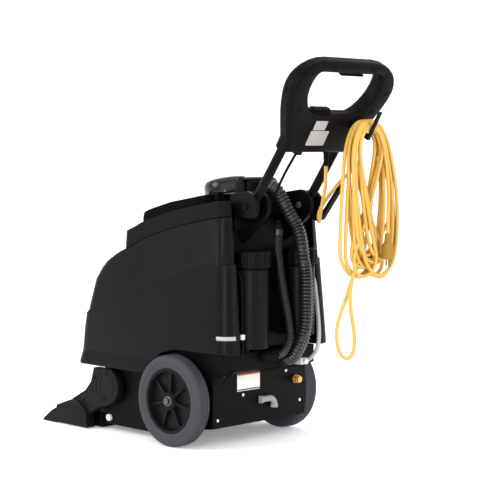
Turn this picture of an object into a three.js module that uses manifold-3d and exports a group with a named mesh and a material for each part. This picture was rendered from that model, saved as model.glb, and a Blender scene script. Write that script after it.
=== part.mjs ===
// A walk-behind, self-contained carpet extractor: a moulded solution tank on two wheels, a recovery
// tank and clear dome on top, a floating brush head with a vacuum shoe in front, and a folding
// handle behind. Millimetres. +Z is up, -Y is the front (the vacuum shoe), +X is the machine's left.
// The parts are drawn about a point on the floor under the axle, and the finished machine is then
// moved so that the middle of its footprint stands on the origin.

import * as THREE from 'three';
import { mergeVertices } from 'three/addons/utils/BufferGeometryUtils.js';
import Module from 'manifold-3d';

const wasm = await Module();
wasm.setup();

// ---------------------------------------------------------------- driving dimensions
const GAP = 0.3; // between touching pieces
const RUNNING = 0.8; // between pieces that move past each other

const WHEEL_RADIUS = 127;
const TYRE_WIDTH = 49;
const RIM_RADIUS = 90;
const AXLE_RADIUS = 9.5;
const WHEEL_SPOKES = 7;
const ARCH_GAP = 9; // wheel to wheel arch

const BODY_HALF_WIDTH = 211; // solution tank at its foot
const TANK_WALL = 6;
const CORNER_RADIUS = 40;
const RECESS_HALF_WIDTH = 155; // channel down the back of the tanks
const RECESS_Y = 140;

const BASE_HALF_WIDTH = 182;
const BASE_WALL = 4;
const BASE_FRONT_Y = -330;
const BASE_REAR_Y = 125;
const COVER_REAR_Y = 160;
const WHEEL_SIDE_GAP = 6.5; // base to tyre

const HEAD_HALF_WIDTH = 220;
const ARM_OUT = 210;
const ARM_WALL = 3.5;
const FLOAT_Y = -290; // the brush head swings about the motor shaft
const FLOAT_Z = 134;
const ARM_END_RADIUS = 54;
const BRUSH_Y = -425;
const BRUSH_RADIUS = 36;
const BRUSH_Z = BRUSH_RADIUS + 1;
const BRUSH_CORE_RADIUS = 18;
const BRUSH_SHAFT_RADIUS = 6;
const BRUSH_PULLEY_RADIUS = 17;
const MOTOR_PULLEY_RADIUS = 12;
const BELT_THICKNESS = 3;
const SHOE_TIP_Y = -580;

const PIVOT_X = 105;
const PIVOT_Y = 200;
const PIVOT_Z = 661;
const PIVOT_BOLT_RADIUS = 5;
const TUBE_RADIUS = 12.7;
const TUBE_WALL = 2;
const TUBE_LEAN = 35; // degrees back from upright
const TUBE_LENGTH = 184; // pivot to the foot of the handle head
const TUBE_SOCKET = 45; // length of tube inside the handle head
const HEAD_LEAN = 31;
const GRIP_HEIGHT = 278; // handle head, foot to top
const GRIP_HALF_WIDTH = 195.5;
const GRIP_FRONT = 18; // depth of the front shell
const GRIP_REAR = 28; // depth of the rear shell
const GRIP_WALL = 3.5;
const GRIP_ROUND = 14; // the handle head's edges
const GRIP_FOOT = 8;

const CAP_RADIUS = 48;
const CAP_HEIGHT = 44;
const CAP_X = 92;
const CAP_Y = 190;
const CAP_Z = 497;
const NECK_RADIUS = 38;

const DOME_RADIUS = 66;
const DOME_HEIGHT = 47;
const DOME_Y = -2;
const DOME_TILT = 12;

const VAC_HOSE_RADIUS = 19;
const DRAIN_HOSE_RADIUS = 12.5;
const LEVEL_TUBE_RADIUS = 6;
const CORD_RADIUS = 5;

// ---------------------------------------------------------------- geometry helpers

/** Merge shared corners, drop collapsed triangles and turn the faces outwards. */
function tidy(geometry) {
  const bare = geometry.clone();
  bare.deleteAttribute('normal');
  bare.deleteAttribute('uv');
  const merged = mergeVertices(bare, 1e-3);
  const p = merged.getAttribute('position');
  const kept = [];
  const a = new THREE.Vector3();
  const b = new THREE.Vector3();
  const c = new THREE.Vector3();
  let volume = 0;
  for (let i = 0; i < merged.index.count; i += 3) {
    const [u, v, w] = [0, 1, 2].map((k) => merged.index.getX(i + k));
    if (u === v || v === w || w === u) continue;
    kept.push([u, v, w]);
    volume += a.fromBufferAttribute(p, u).dot(b.fromBufferAttribute(p, v).cross(c.fromBufferAttribute(p, w)));
  }
  merged.setIndex(kept.flatMap(([u, v, w]) => (volume < 0 ? [u, w, v] : [u, v, w])));
  return merged;
}

/** A boolean solid from a closed geometry. */
function solid(geometry) {
  const g = tidy(geometry);
  return new wasm.Manifold(new wasm.Mesh({
    numProp: 3,
    vertProperties: new Float32Array(g.getAttribute('position').array),
    triVerts: new Uint32Array(g.index.array),
  }));
}

/** Back from a boolean solid to a geometry. */
function surface(body) {
  const m = body.getMesh();
  const g = new THREE.BufferGeometry();
  g.setAttribute('position', new THREE.BufferAttribute(new Float32Array(m.vertProperties), 3));
  g.setIndex(new THREE.BufferAttribute(new Uint32Array(m.triVerts), 1));
  return g;
}

const join = (...list) => list.reduce((whole, next) => whole.add(next));
const cut = (whole, ...list) => list.reduce((rest, next) => rest.subtract(next), whole);

const AXES = {
  x: new THREE.Matrix4().makeBasis(new THREE.Vector3(0, 1, 0), new THREE.Vector3(0, 0, 1), new THREE.Vector3(1, 0, 0)),
  y: new THREE.Matrix4().makeBasis(new THREE.Vector3(1, 0, 0), new THREE.Vector3(0, 0, 1), new THREE.Vector3(0, -1, 0)),
  z: new THREE.Matrix4(),
};

function asShape(outline) {
  return outline instanceof THREE.Shape ? outline : new THREE.Shape(outline.map(([u, v]) => new THREE.Vector2(u, v)));
}

/** An outline in the plane across an axis, carried along that axis from one value to another.
 *  Across x it is drawn in (y, z), across y in (x, z), across z in (x, y). */
function prism(outline, axis, from, to, curveSegments = 6) {
  const g = new THREE.ExtrudeGeometry(asShape(outline), { depth: to - from, bevelEnabled: false, curveSegments });
  g.applyMatrix4(AXES[axis]);
  const start = axis === 'y' ? to : from;
  return g.translate(axis === 'x' ? start : 0, axis === 'y' ? start : 0, axis === 'z' ? start : 0);
}

/** The same across y, with its edges rounded. */
function pillow(shape, from, to, round, curveSegments = 6) {
  const g = new THREE.ExtrudeGeometry(shape, {
    depth: to - from - 2 * round, bevelThickness: round, bevelSize: round, bevelOffset: -round, bevelSegments: 3, curveSegments,
  });
  return g.applyMatrix4(AXES.y).translate(0, to - round, 0);
}

function box(x0, x1, y0, y1, z0, z1) {
  return new THREE.BoxGeometry(x1 - x0, y1 - y0, z1 - z0).translate((x0 + x1) / 2, (y0 + y1) / 2, (z0 + z1) / 2);
}

/** A round bar along an axis through the point (u, v) of the plane across it. */
function bar(axis, radius, u, v, from, to, sides = 24) {
  return prism(ring(radius, u, v, sides), axis, from, to);
}

function ring(radius, u = 0, v = 0, sides = 24) {
  return Array.from({ length: sides }, (_, i) => {
    const t = (i / sides) * 2 * Math.PI;
    return [u + radius * Math.cos(t), v + radius * Math.sin(t)];
  });
}

/** A closed profile of (radius, height) points turned about an axis. */
function turned(profile, axis, segments = 28) {
  const g = new THREE.LatheGeometry(profile.map(([r, h]) => new THREE.Vector2(r, h)), segments);
  g.rotateX(Math.PI / 2);
  if (axis === 'x') g.rotateY(Math.PI / 2);
  if (axis === 'y') g.rotateX(-Math.PI / 2);
  return g;
}

/** A round section carried along a smooth route of points. */
function hose(points, radius, sides, steps) {
  const route = new THREE.CatmullRomCurve3(points.map((q) => new THREE.Vector3(...q)), false, 'centripetal');
  return new THREE.ExtrudeGeometry(asShape(ring(radius, 0, 0, sides)), { steps, extrudePath: route, bevelEnabled: false });
}

/** One skin over a stack of outlines that have the same number of points; both ends are closed. */
function loft(rings) {
  const count = rings[0].length;
  const position = rings.flat(2);
  const index = [];
  for (let level = 0; level + 1 < rings.length; level++) {
    for (let i = 0; i < count; i++) {
      const a = level * count + i;
      const b = level * count + ((i + 1) % count);
      index.push(a, b, b + count, a, b + count, a + count);
    }
  }
  const top = (rings.length - 1) * count;
  for (let i = 1; i + 1 < count; i++) index.push(0, i + 1, i, top, top + i, top + i + 1);
  const g = new THREE.BufferGeometry();
  g.setAttribute('position', new THREE.Float32BufferAttribute(position, 3));
  g.setIndex(index);
  return g;
}

/** A rectangle in plan with round corners, as one ring of points at height z. */
function plan(halfWidth, front, rear, radius, z, steps = 5) {
  const corners = [[halfWidth, rear, 0], [-halfWidth, rear, 1], [-halfWidth, front, 2], [halfWidth, front, 3]];
  return corners.flatMap(([x, y, turn]) => Array.from({ length: steps + 1 }, (_, i) => {
    const t = (turn + i / steps) * (Math.PI / 2);
    return [x - Math.sign(x) * radius + radius * Math.cos(t), y + (y === rear ? -radius : radius) + radius * Math.sin(t), z];
  }));
}

/** Height at y on a curve given by a few points. */
function heightOn(curve, y) {
  const i = Math.max(1, curve.findIndex(([v]) => v >= y));
  const [[y0, z0], [y1, z1]] = [curve[i - 1], curve[i]];
  return z0 + ((z1 - z0) * (y - y0)) / (y1 - y0);
}

const raised = (curve, by) => curve.map(([y, z]) => [y, z + by]);

/** The same piece on the machine's other side. */
const mirrored = (geometry) => geometry.clone().scale(-1, 1, 1);

// ---------------------------------------------------------------- the machine
const finish = (color, roughness, metalness = 0) => new THREE.MeshStandardMaterial({ color, roughness, metalness });
const BLACK = finish(0x232323, 0.55);
const SATIN = finish(0x1b1b1b, 0.7);
const RUBBER = finish(0x58565e, 0.85);
const STEEL = finish(0xa8a8aa, 0.35, 0.9);
const BRASS = finish(0xb08a45, 0.35, 0.9);
const SMOKE = finish(0x5a5a58, 0.2);
const YELLOW = finish(0xe8b43c, 0.5);
const PALE = finish(0xd8d8d4, 0.5);
const GREY = finish(0x8c8c8c, 0.5);

const machine = new THREE.Group();

function add(parent, name, geometry, material, position = [0, 0, 0]) {
  const mesh = new THREE.Mesh(tidy(geometry), material);
  mesh.name = name;
  mesh.position.set(...position);
  parent.add(mesh);
  return mesh;
}

function addPair(parent, name, geometry, material, position = [0, 0, 0]) {
  add(parent, `${name}_left`, geometry, material, position);
  add(parent, `${name}_right`, mirrored(geometry), material, [-position[0], position[1], position[2]]);
}

// ---------------------------------------------------------------- wheels and axle
const WHEEL_X = BASE_HALF_WIDTH + WHEEL_SIDE_GAP + TYRE_WIDTH / 2;
const HUB_RADIUS = 24;
const RIM_HALF = TYRE_WIDTH / 2 - 4;
const AXLE_BORE = AXLE_RADIUS + 0.1;
const AXLE_END = WHEEL_X + RIM_HALF + 9;
const CLIP_RADIUS = 16;

function tyre() {
  const w = TYRE_WIDTH / 2;
  const inner = RIM_RADIUS + GAP;
  return turned([
    [inner, -w + 5], [RIM_RADIUS + 12, -w], [WHEEL_RADIUS - 11, -w + 1], [WHEEL_RADIUS - 3, -w + 7], [WHEEL_RADIUS, -w + 15],
    [WHEEL_RADIUS, w - 15], [WHEEL_RADIUS - 3, w - 7], [WHEEL_RADIUS - 11, w - 1], [RIM_RADIUS + 12, w], [inner, w - 5],
    [inner, -w + 5],
  ], 'x', 40);
}

/** A dished disc with a hub and radial ribs on its outer face. */
function rim() {
  const dish = solid(turned([
    [AXLE_BORE, -RIM_HALF], [HUB_RADIUS, -RIM_HALF], [HUB_RADIUS, -4], [RIM_RADIUS - 8, -4], [RIM_RADIUS - 8, -RIM_HALF],
    [RIM_RADIUS, -RIM_HALF], [RIM_RADIUS, RIM_HALF], [RIM_RADIUS - 8, RIM_HALF], [RIM_RADIUS - 12, 2], [HUB_RADIUS + 4, 2],
    [HUB_RADIUS, RIM_HALF - 2], [AXLE_BORE, RIM_HALF - 2], [AXLE_BORE, -RIM_HALF],
  ], 'x', 40));
  const ribs = Array.from({ length: WHEEL_SPOKES }, (_, i) => {
    const rib = prism([[HUB_RADIUS - 2, 0], [RIM_RADIUS - 6, 0], [RIM_RADIUS - 6, 9], [HUB_RADIUS - 2, 15]], 'y', -4, 4);
    rib.applyMatrix4(new THREE.Matrix4().makeBasis(new THREE.Vector3(0, 0, 1), new THREE.Vector3(0, 1, 0), new THREE.Vector3(-1, 0, 0)));
    return solid(rib.scale(-1, 1, 1).rotateX((i / WHEEL_SPOKES) * 2 * Math.PI));
  });
  return surface(join(dish, ...ribs));
}

addPair(machine, 'tyre', tyre(), RUBBER, [WHEEL_X, 0, WHEEL_RADIUS]);
addPair(machine, 'wheel_rim', rim(), BLACK, [WHEEL_X, 0, WHEEL_RADIUS]);
add(machine, 'axle', bar('x', AXLE_RADIUS, 0, 0, -AXLE_END, AXLE_END, 28), STEEL, [0, 0, WHEEL_RADIUS]);
addPair(machine, 'axle_clip', turned([
  [AXLE_RADIUS + GAP, 0], [CLIP_RADIUS, 0], [CLIP_RADIUS - 2, 4], [AXLE_RADIUS + GAP, 5], [AXLE_RADIUS + GAP, 0],
], 'x', 20), STEEL, [WHEEL_X + RIM_HALF - 2 + RUNNING, 0, WHEEL_RADIUS]);

// ---------------------------------------------------------------- tank outlines, in (y, z)
const TANK_FOOT_Z = 190;
const TANK_REAR_FOOT_Z = 267;
const ARCH_RADIUS = WHEEL_RADIUS + ARCH_GAP;
const ARCH_FRONT_Y = -(ARCH_RADIUS + 8);
// foot of the tank from front to back, over the wheel
const foot = [
  [-470, TANK_FOOT_Z], [ARCH_FRONT_Y, TANK_FOOT_Z],
  ...[150, 132, 114, 98].map((t) => [ARCH_RADIUS * Math.cos((t * Math.PI) / 180), WHEEL_RADIUS + ARCH_RADIUS * Math.sin((t * Math.PI) / 180)]),
  [0, Math.max(TANK_REAR_FOOT_Z - 2, WHEEL_RADIUS + ARCH_RADIUS)],
  [240, Math.max(TANK_REAR_FOOT_Z, WHEEL_RADIUS + ARCH_RADIUS)],
];
// belt line along the side, top of the solution tank, top of the recovery tank
const beltLine = [[-470, 305], [-420, 328], [-363, 354], [-272, 399], [-184, 432], [-99, 457], [-16, 479], [103, 503], [240, 515]];
const tankTop = [[-470, 520], [-246, 526], [-206, 541], [-145, 565], [-61, 590], [19, 609], [99, 624], [240, 645]];
const recoveryTop = [[-238, 584], [-198, 600], [-120, 623], [-36, 645], [43, 660], [122, 673], [240, 684]];
const lidTop = [[-196, 631], [-150, 647], [-64, 669], [17, 682], [90, 695]];
// front face and taper of the solution tank at each height
const tankLevels = [
  [170, -427], [TANK_FOOT_Z + 12, -426], [TANK_FOOT_Z + 40, -420], [300, -414], [340, -407], [367, -400],
  [440, -376], [476, -348], [495, -327], [514, -294], [533, -256], [560, -200], [700, -60],
];
const draw = (z) => Math.max(0, z - 260) * 0.07; // the back draws in a little more
const taper = (z) => Math.max(0, z - 230) * 0.045; // each side draws in towards the top
const flare = (z) => Math.max(0, TANK_FOOT_Z + 40 - z) * 0.2; // skirt at the foot

/** The tank's outer skin, drawn in by an amount on all sides. */
function tankSkin(inset) {
  return solid(loft(tankLevels.map(([z, front]) => plan(
    BODY_HALF_WIDTH - taper(z) + flare(z) - inset,
    front + inset,
    206 - draw(z) + flare(z) - inset,
    Math.max(CORNER_RADIUS - inset, 5),
    z,
  ))));
}

/** Everything between two curves that run from front to back. */
function between(low, high, halfWidth = 400) {
  return solid(prism([...low, ...[...high].reverse()], 'x', -halfWidth, halfWidth));
}

const STEP = 5; // how far the skin above the belt line is set in
const recess = solid(box(-RECESS_HALF_WIDTH, RECESS_HALF_WIDTH, RECESS_Y, 400, 0, 900));

// ---------------------------------------------------------------- base
const footUnder = foot.filter(([y]) => y > BASE_FRONT_Y && y < COVER_REAR_Y).map(([y, z]) => [y, z - 3]);
const BASE_FLOOR_FRONT = 18;
const BASE_FLOOR_REAR = 58;
const COVER_FOOT_Z = 212;

function baseOutline(inset, openTop) {
  const top = footUnder.map(([y, z]) => [y, z + (openTop ? 60 : 0)]);
  const rearTop = top[top.length - 1][1];
  return [
    [BASE_FRONT_Y + inset, top[0][1]], ...top, [COVER_REAR_Y - inset, rearTop], [COVER_REAR_Y - inset, COVER_FOOT_Z + inset],
    [BASE_REAR_Y - inset, COVER_FOOT_Z - 14 + inset], [BASE_REAR_Y - inset, BASE_FLOOR_REAR + inset],
    [40, BASE_FLOOR_REAR - 12 + inset], [-70, BASE_FLOOR_FRONT + inset], [BASE_FRONT_Y + inset, BASE_FLOOR_FRONT + inset],
  ];
}

const MOTOR_RADIUS = 33;
const MOTOR_SHAFT_RADIUS = 6;
const baseTub = cut(
  solid(prism(baseOutline(0, false), 'x', -BASE_HALF_WIDTH, BASE_HALF_WIDTH)),
  solid(prism(baseOutline(BASE_WALL, true), 'x', -BASE_HALF_WIDTH + BASE_WALL, BASE_HALF_WIDTH - BASE_WALL)),
  solid(bar('x', AXLE_RADIUS + GAP, 0, WHEEL_RADIUS, -300, 300)),
  solid(bar('x', MOTOR_SHAFT_RADIUS + RUNNING, FLOAT_Y, FLOAT_Z, 0, 300)),
);
add(machine, 'base_tub', surface(baseTub), SATIN);

const MOTOR_START = 10;
const MOTOR_END = BASE_HALF_WIDTH - BASE_WALL - GAP;
add(machine, 'brush_motor', bar('x', MOTOR_RADIUS, FLOAT_Y, FLOAT_Z, MOTOR_START, MOTOR_END), STEEL);
add(machine, 'solution_pump', surface(join(
  solid(box(-95, -5, 45, 105, BASE_FLOOR_REAR + BASE_WALL + GAP, 118)), solid(bar('x', 24, 75, 92, -5, 60)),
)), SATIN);
const BUSH_Z = 38;
addPair(machine, 'glide_bush', turned([[0, 0], [10, 0], [10, 8], [4, 8], [4, 5], [0, 5]], 'x', 16), PALE,
  [BASE_HALF_WIDTH + GAP, -307, BUSH_Z]);

// ---------------------------------------------------------------- floating brush head
const HOOD_HALF_WIDTH = HEAD_HALF_WIDTH - 38;
const ARM_IN = BASE_HALF_WIDTH + 5.5;
const END_CAP = [[-513, 3], [-513, 55], [-446, 78], [-408, 77], [-385, 62], [-372, 43], [-370, 3]];

/** The arm in side view: a round end about the motor shaft, running down to the brush's end cap. */
function armOutline(inset) {
  const end = [-80, -50, -20, 10, 40, 66].map((t) => {
    const a = (t * Math.PI) / 180;
    return [FLOAT_Y + (ARM_END_RADIUS - inset) * Math.cos(a), FLOAT_Z + (ARM_END_RADIUS - inset) * Math.sin(a)];
  });
  return [
    ...end, [-348 + inset, 183 - inset], [-354 + inset, 165], [-362 + inset, 140], [-388 + inset, 112 - inset * 0.3],
    [-449 + inset, 80 - inset], [-449 + inset, 30], [-375, 30], [-375, 40 + inset], [-329, 66 + inset],
  ];
}

function capOutline(inset) {
  const middle = [-440, 40];
  return END_CAP.map(([y, z]) => [y + Math.sign(middle[0] - y) * inset, z + Math.sign(middle[1] - z) * inset]);
}

/** A deep tray, open towards the middle of the machine, that covers the belt and carries the head. */
const armTray = cut(
  join(solid(prism(armOutline(0), 'x', ARM_IN, ARM_OUT)), solid(prism(capOutline(0), 'x', ARM_IN, HEAD_HALF_WIDTH))),
  solid(prism(armOutline(ARM_WALL), 'x', ARM_IN - 5, ARM_OUT - ARM_WALL)),
  solid(prism(capOutline(ARM_WALL), 'x', ARM_IN - 5, HEAD_HALF_WIDTH - ARM_WALL)),
);
addPair(machine, 'head_arm', surface(armTray), BLACK);

const HOOD_WALL = 4;
const BRUSH_ROOM = BRUSH_RADIUS + 5;
const hood = cut(
  solid(prism([[-513, 4], [-513, 50], [-446, BRUSH_Z + BRUSH_ROOM + 3], [-408, BRUSH_Z + BRUSH_ROOM + 2], [-385, 66], [-343, 46], [-343, 4]],
    'x', -HOOD_HALF_WIDTH, HOOD_HALF_WIDTH)),
  solid(bar('x', BRUSH_ROOM, BRUSH_Y, BRUSH_Z, -HOOD_HALF_WIDTH + HOOD_WALL, HOOD_HALF_WIDTH - HOOD_WALL, 28)),
  solid(box(-HOOD_HALF_WIDTH + HOOD_WALL, HOOD_HALF_WIDTH - HOOD_WALL, BRUSH_Y - BRUSH_ROOM, BRUSH_Y + BRUSH_ROOM, -5, BRUSH_Z)),
  solid(box(-HOOD_HALF_WIDTH + HOOD_WALL, HOOD_HALF_WIDTH - HOOD_WALL, -509, -472, -5, 40)),
  solid(bar('x', BRUSH_SHAFT_RADIUS + GAP, BRUSH_Y, BRUSH_Z, -300, 300)),
);
add(machine, 'brush_hood', surface(hood), SATIN);

const BRISTLE_END = HOOD_HALF_WIDTH - HOOD_WALL - 4;
const SHAFT_END = ARM_OUT - ARM_WALL - 1;
add(machine, 'brush_core', surface(join(
  solid(bar('x', BRUSH_CORE_RADIUS, 0, 0, -BRISTLE_END, BRISTLE_END)), solid(bar('x', BRUSH_SHAFT_RADIUS, 0, 0, -SHAFT_END, SHAFT_END, 20)),
)), SATIN, [0, BRUSH_Y, BRUSH_Z]);
add(machine, 'brush_bristles', turned([
  [BRUSH_CORE_RADIUS + GAP, -BRISTLE_END + 2], [BRUSH_RADIUS, -BRISTLE_END + 2], [BRUSH_RADIUS, BRISTLE_END - 2],
  [BRUSH_CORE_RADIUS + GAP, BRISTLE_END - 2], [BRUSH_CORE_RADIUS + GAP, -BRISTLE_END + 2],
], 'x'), GREY, [0, BRUSH_Y, BRUSH_Z]);

const PULLEY_START = ARM_IN + 4;
const PULLEY_WIDTH = 12;
const pulley = (radius, bore) => turned([
  [bore, 0], [radius + 2, 0], [radius + 2, 2], [radius, 2], [radius, PULLEY_WIDTH - 2], [radius + 2, PULLEY_WIDTH - 2],
  [radius + 2, PULLEY_WIDTH], [bore, PULLEY_WIDTH], [bore, 0],
], 'x', 32);
add(machine, 'brush_pulley', pulley(BRUSH_PULLEY_RADIUS, BRUSH_SHAFT_RADIUS + 0.1), STEEL, [PULLEY_START, BRUSH_Y, BRUSH_Z]);
add(machine, 'motor_pulley', surface(join(
  solid(pulley(MOTOR_PULLEY_RADIUS, MOTOR_SHAFT_RADIUS - 1)),
  solid(bar('x', MOTOR_SHAFT_RADIUS, 0, 0, MOTOR_END + GAP - PULLEY_START, PULLEY_WIDTH + 2, 20)),
)), STEEL, [PULLEY_START, FLOAT_Y, FLOAT_Z]);

/** Outline of a belt of the given radii round two centres: two arcs and their common tangents. */
function beltOutline(grow) {
  const [y0, z0, r0] = [FLOAT_Y, FLOAT_Z, MOTOR_PULLEY_RADIUS + grow];
  const [y1, z1, r1] = [BRUSH_Y, BRUSH_Z, BRUSH_PULLEY_RADIUS + grow];
  const along = Math.atan2(z1 - z0, y1 - y0);
  const spread = Math.acos((r0 - r1) / Math.hypot(y1 - y0, z1 - z0));
  const arc = (y, z, r, from, to) => Array.from({ length: 17 }, (_, i) => {
    const t = from + ((to - from) * i) / 16;
    return [y + r * Math.cos(t), z + r * Math.sin(t)];
  });
  return [
    ...arc(y0, z0, r0, along + spread, along + 2 * Math.PI - spread),
    ...arc(y1, z1, r1, along - spread, along + spread),
  ];
}

add(machine, 'drive_belt', surface(cut(
  solid(prism(beltOutline(0.4 + BELT_THICKNESS), 'x', PULLEY_START + 2.4, PULLEY_START + PULLEY_WIDTH - 2.4)),
  solid(prism(beltOutline(0.4), 'x', 0, 400)),
)), SATIN);

/** The cast vacuum shoe: a wedge with a slot along its sole and a duct on its back. */
const SHOE_SLOT = 8;
const shoeOuter = [[SHOE_TIP_Y, 1], [SHOE_TIP_Y + 6, 9], [-543, 32], [-519, 45], [-513 - GAP, 45], [-513 - GAP, 1]];
const DUCT_HALF_WIDTH = 48;
const duct = [[-540, 30], [-519, 62], [-448, 96], [-345, 96], [-345, 70], [-380, 70], [-407, 82], [-446, 84], [-512.7, 54]];
const vacuumShoe = cut(
  join(solid(prism(shoeOuter, 'x', -HEAD_HALF_WIDTH + 1, HEAD_HALF_WIDTH - 1)),
    solid(prism(duct.map(([y, z]) => [y, z + (y > -513 ? 3 : 0)]), 'x', -DUCT_HALF_WIDTH, DUCT_HALF_WIDTH))),
  solid(box(-HEAD_HALF_WIDTH + 12, HEAD_HALF_WIDTH - 12, -552, -552 + SHOE_SLOT, -5, 20)),
  solid(prism([[-552, 12], [-548, 22], [-530, 34], [-520, 34], [-520, 20], [-540, 12]], 'x', -HEAD_HALF_WIDTH + 12, HEAD_HALF_WIDTH - 12)),
);
add(machine, 'vacuum_shoe', surface(vacuumShoe), BLACK);
add(machine, 'spray_bar', bar('x', 7, -490, 24, -HOOD_HALF_WIDTH + HOOD_WALL + 2, HOOD_HALF_WIDTH - HOOD_WALL - 2, 14), BRASS);

// ---------------------------------------------------------------- solution tank
const COLUMN_RADIUS = CAP_RADIUS - 4;
const COLUMN_Y = CAP_Y - 5;
const TUB_HALF_WIDTH = 150;
const TUB_FRONT = -176;
const TUB_REAR = 8;
const TUB_FLOOR = 400;
const VAC_MOTOR_RADIUS = 50;
const VAC_MOTOR_Y = 82;
const COLUMN_FOOT_Z = foot[foot.length - 1][1] + 33;

const outerSkin = join(
  tankSkin(0).intersect(between(foot, beltLine)),
  tankSkin(STEP).intersect(between(raised(beltLine, -0.5), tankTop)),
).subtract(recess);
const columns = [1, -1].map((side) => join(
  solid(bar('z', COLUMN_RADIUS, side * CAP_X, COLUMN_Y, COLUMN_FOOT_Z - (side > 0 ? 22 : 0), CAP_Z - 4)),
  solid(box(side * CAP_X - 36, side * CAP_X + 36, RECESS_Y - 4, COLUMN_Y, COLUMN_FOOT_Z - (side > 0 ? 22 : 0), CAP_Z - 4)),
  solid(bar('z', NECK_RADIUS, side * CAP_X, CAP_Y, CAP_Z - 20, CAP_Z + CAP_HEIGHT - 14)),
));
const innerSkin = tankSkin(STEP + TANK_WALL)
  .intersect(between(raised(foot, TANK_WALL), raised(tankTop, -TANK_WALL)))
  .subtract(solid(box(-RECESS_HALF_WIDTH - TANK_WALL, RECESS_HALF_WIDTH + TANK_WALL, RECESS_Y - TANK_WALL, 400, 0, 900)));
const NECK_BORE = NECK_RADIUS - 5;
const filler = [1, -1].flatMap((side) => [
  solid(bar('z', NECK_BORE, side * CAP_X, CAP_Y, COLUMN_FOOT_Z + TANK_WALL, CAP_Z + CAP_HEIGHT)),
  solid(box(side * CAP_X - 24, side * CAP_X + 24, RECESS_Y - 3 * TANK_WALL, CAP_Y, COLUMN_FOOT_Z + TANK_WALL, CAP_Z - 30)),
]);
const solutionTank = cut(
  join(outerSkin, ...columns), innerSkin, ...filler,
  solid(box(-TUB_HALF_WIDTH - GAP, TUB_HALF_WIDTH + GAP, TUB_FRONT - GAP, TUB_REAR + GAP, TUB_FLOOR, 900)),
  solid(bar('z', VAC_MOTOR_RADIUS + GAP, 0, VAC_MOTOR_Y, 400, 900, 32)),
);
add(machine, 'solution_tank', surface(solutionTank), BLACK);

// ---------------------------------------------------------------- recovery tank and lid
const recoveryLevels = [[500, -249], [584, -245], [600, -202], [720, -20]];
const recoverySkin = (inset) => solid(loft(recoveryLevels.map(([z, front]) => plan(
  BODY_HALF_WIDTH - 8 - taper(z) - inset, front + inset, 200 - draw(z) - inset, CORNER_RADIUS - 6, z,
))));
const recoveryBand = recoverySkin(0)
  .intersect(between(raised(tankTop, GAP), recoveryTop.map(([y, z]) => [y === -238 ? -470 : y, z])))
  .subtract(recess);
const recoveryTank = cut(
  join(recoveryBand, solid(box(-TUB_HALF_WIDTH, TUB_HALF_WIDTH, TUB_FRONT, TUB_REAR, TUB_FLOOR + 1, 560))),
  solid(box(-TUB_HALF_WIDTH + 4, TUB_HALF_WIDTH - 4, TUB_FRONT + 4, TUB_REAR - 4, TUB_FLOOR + 5, 900)),
  solid(bar('z', VAC_MOTOR_RADIUS + GAP, 0, VAC_MOTOR_Y, 400, 900, 32)),
);
add(machine, 'recovery_tank', surface(recoveryTank), BLACK);

const LID_HALF_WIDTH = 165;
const LID_REAR = 76;
const LID_WALL = 4;
const lidSkin = (inset) => solid(loft([[560, -200], [624, -196], [760, -158]].map(([z, front]) => plan(
  LID_HALF_WIDTH - inset, front + inset, LID_REAR - inset, 30, z,
))));
const lidUnder = [[-470, 600], ...recoveryTop.slice(1)];
const domeFrame = new THREE.Matrix4().makeRotationX((DOME_TILT * Math.PI) / 180)
  .setPosition(0, DOME_Y, heightOn(lidTop, DOME_Y) + 5);
const lid = cut(
  lidSkin(0).intersect(between(raised(lidUnder, GAP), lidTop)),
  lidSkin(LID_WALL).intersect(between(raised(lidUnder, -20), raised(lidTop, -LID_WALL))),
  solid(bar('z', DOME_RADIUS - 20, 0, 0, -60, 60, 32).applyMatrix4(domeFrame)),
);
add(machine, 'recovery_lid', surface(lid), SATIN);

const domeGasket = turned([
  [DOME_RADIUS - 7, 0], [DOME_RADIUS + 6, 0], [DOME_RADIUS + 6, 3], [DOME_RADIUS - 7, 3], [DOME_RADIUS - 7, 0],
], 'z', 36);
add(machine, 'dome_gasket', domeGasket.applyMatrix4(domeFrame), SATIN);
const DOME_WALL = 3;
const dome = turned([
  [DOME_RADIUS - DOME_WALL, 3 + GAP], [DOME_RADIUS + 5, 3 + GAP], [DOME_RADIUS + 5, 8], [DOME_RADIUS, 10],
  [DOME_RADIUS - 1, DOME_HEIGHT - 14], [DOME_RADIUS - 5, DOME_HEIGHT - 5], [DOME_RADIUS - 14, DOME_HEIGHT],
  [0, DOME_HEIGHT + 3], [0, DOME_HEIGHT + 3 - DOME_WALL], [DOME_RADIUS - 15, DOME_HEIGHT - DOME_WALL],
  [DOME_RADIUS - 7, DOME_HEIGHT - 8], [DOME_RADIUS - 4, DOME_HEIGHT - 15], [DOME_RADIUS - DOME_WALL, 10],
  [DOME_RADIUS - DOME_WALL, 3 + GAP],
], 'z', 36);
add(machine, 'clear_dome', dome.applyMatrix4(domeFrame), SMOKE);

const LATCH_X = 120;
const deckZ = heightOn(recoveryTop, LID_REAR + 16) + 3;
const lidRimZ = heightOn(lidTop, LID_REAR) + GAP;
add(machine, 'lid_latch', prism([
  [LID_REAR - 18, lidRimZ], [LID_REAR + 3, lidRimZ], [LID_REAR + 3, deckZ], [LID_REAR + 16, deckZ],
  [LID_REAR + 16, lidRimZ + 6], [LID_REAR - 14, lidRimZ + 8],
], 'x', -13, 13), SATIN, [LATCH_X, 0, 0]);

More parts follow.
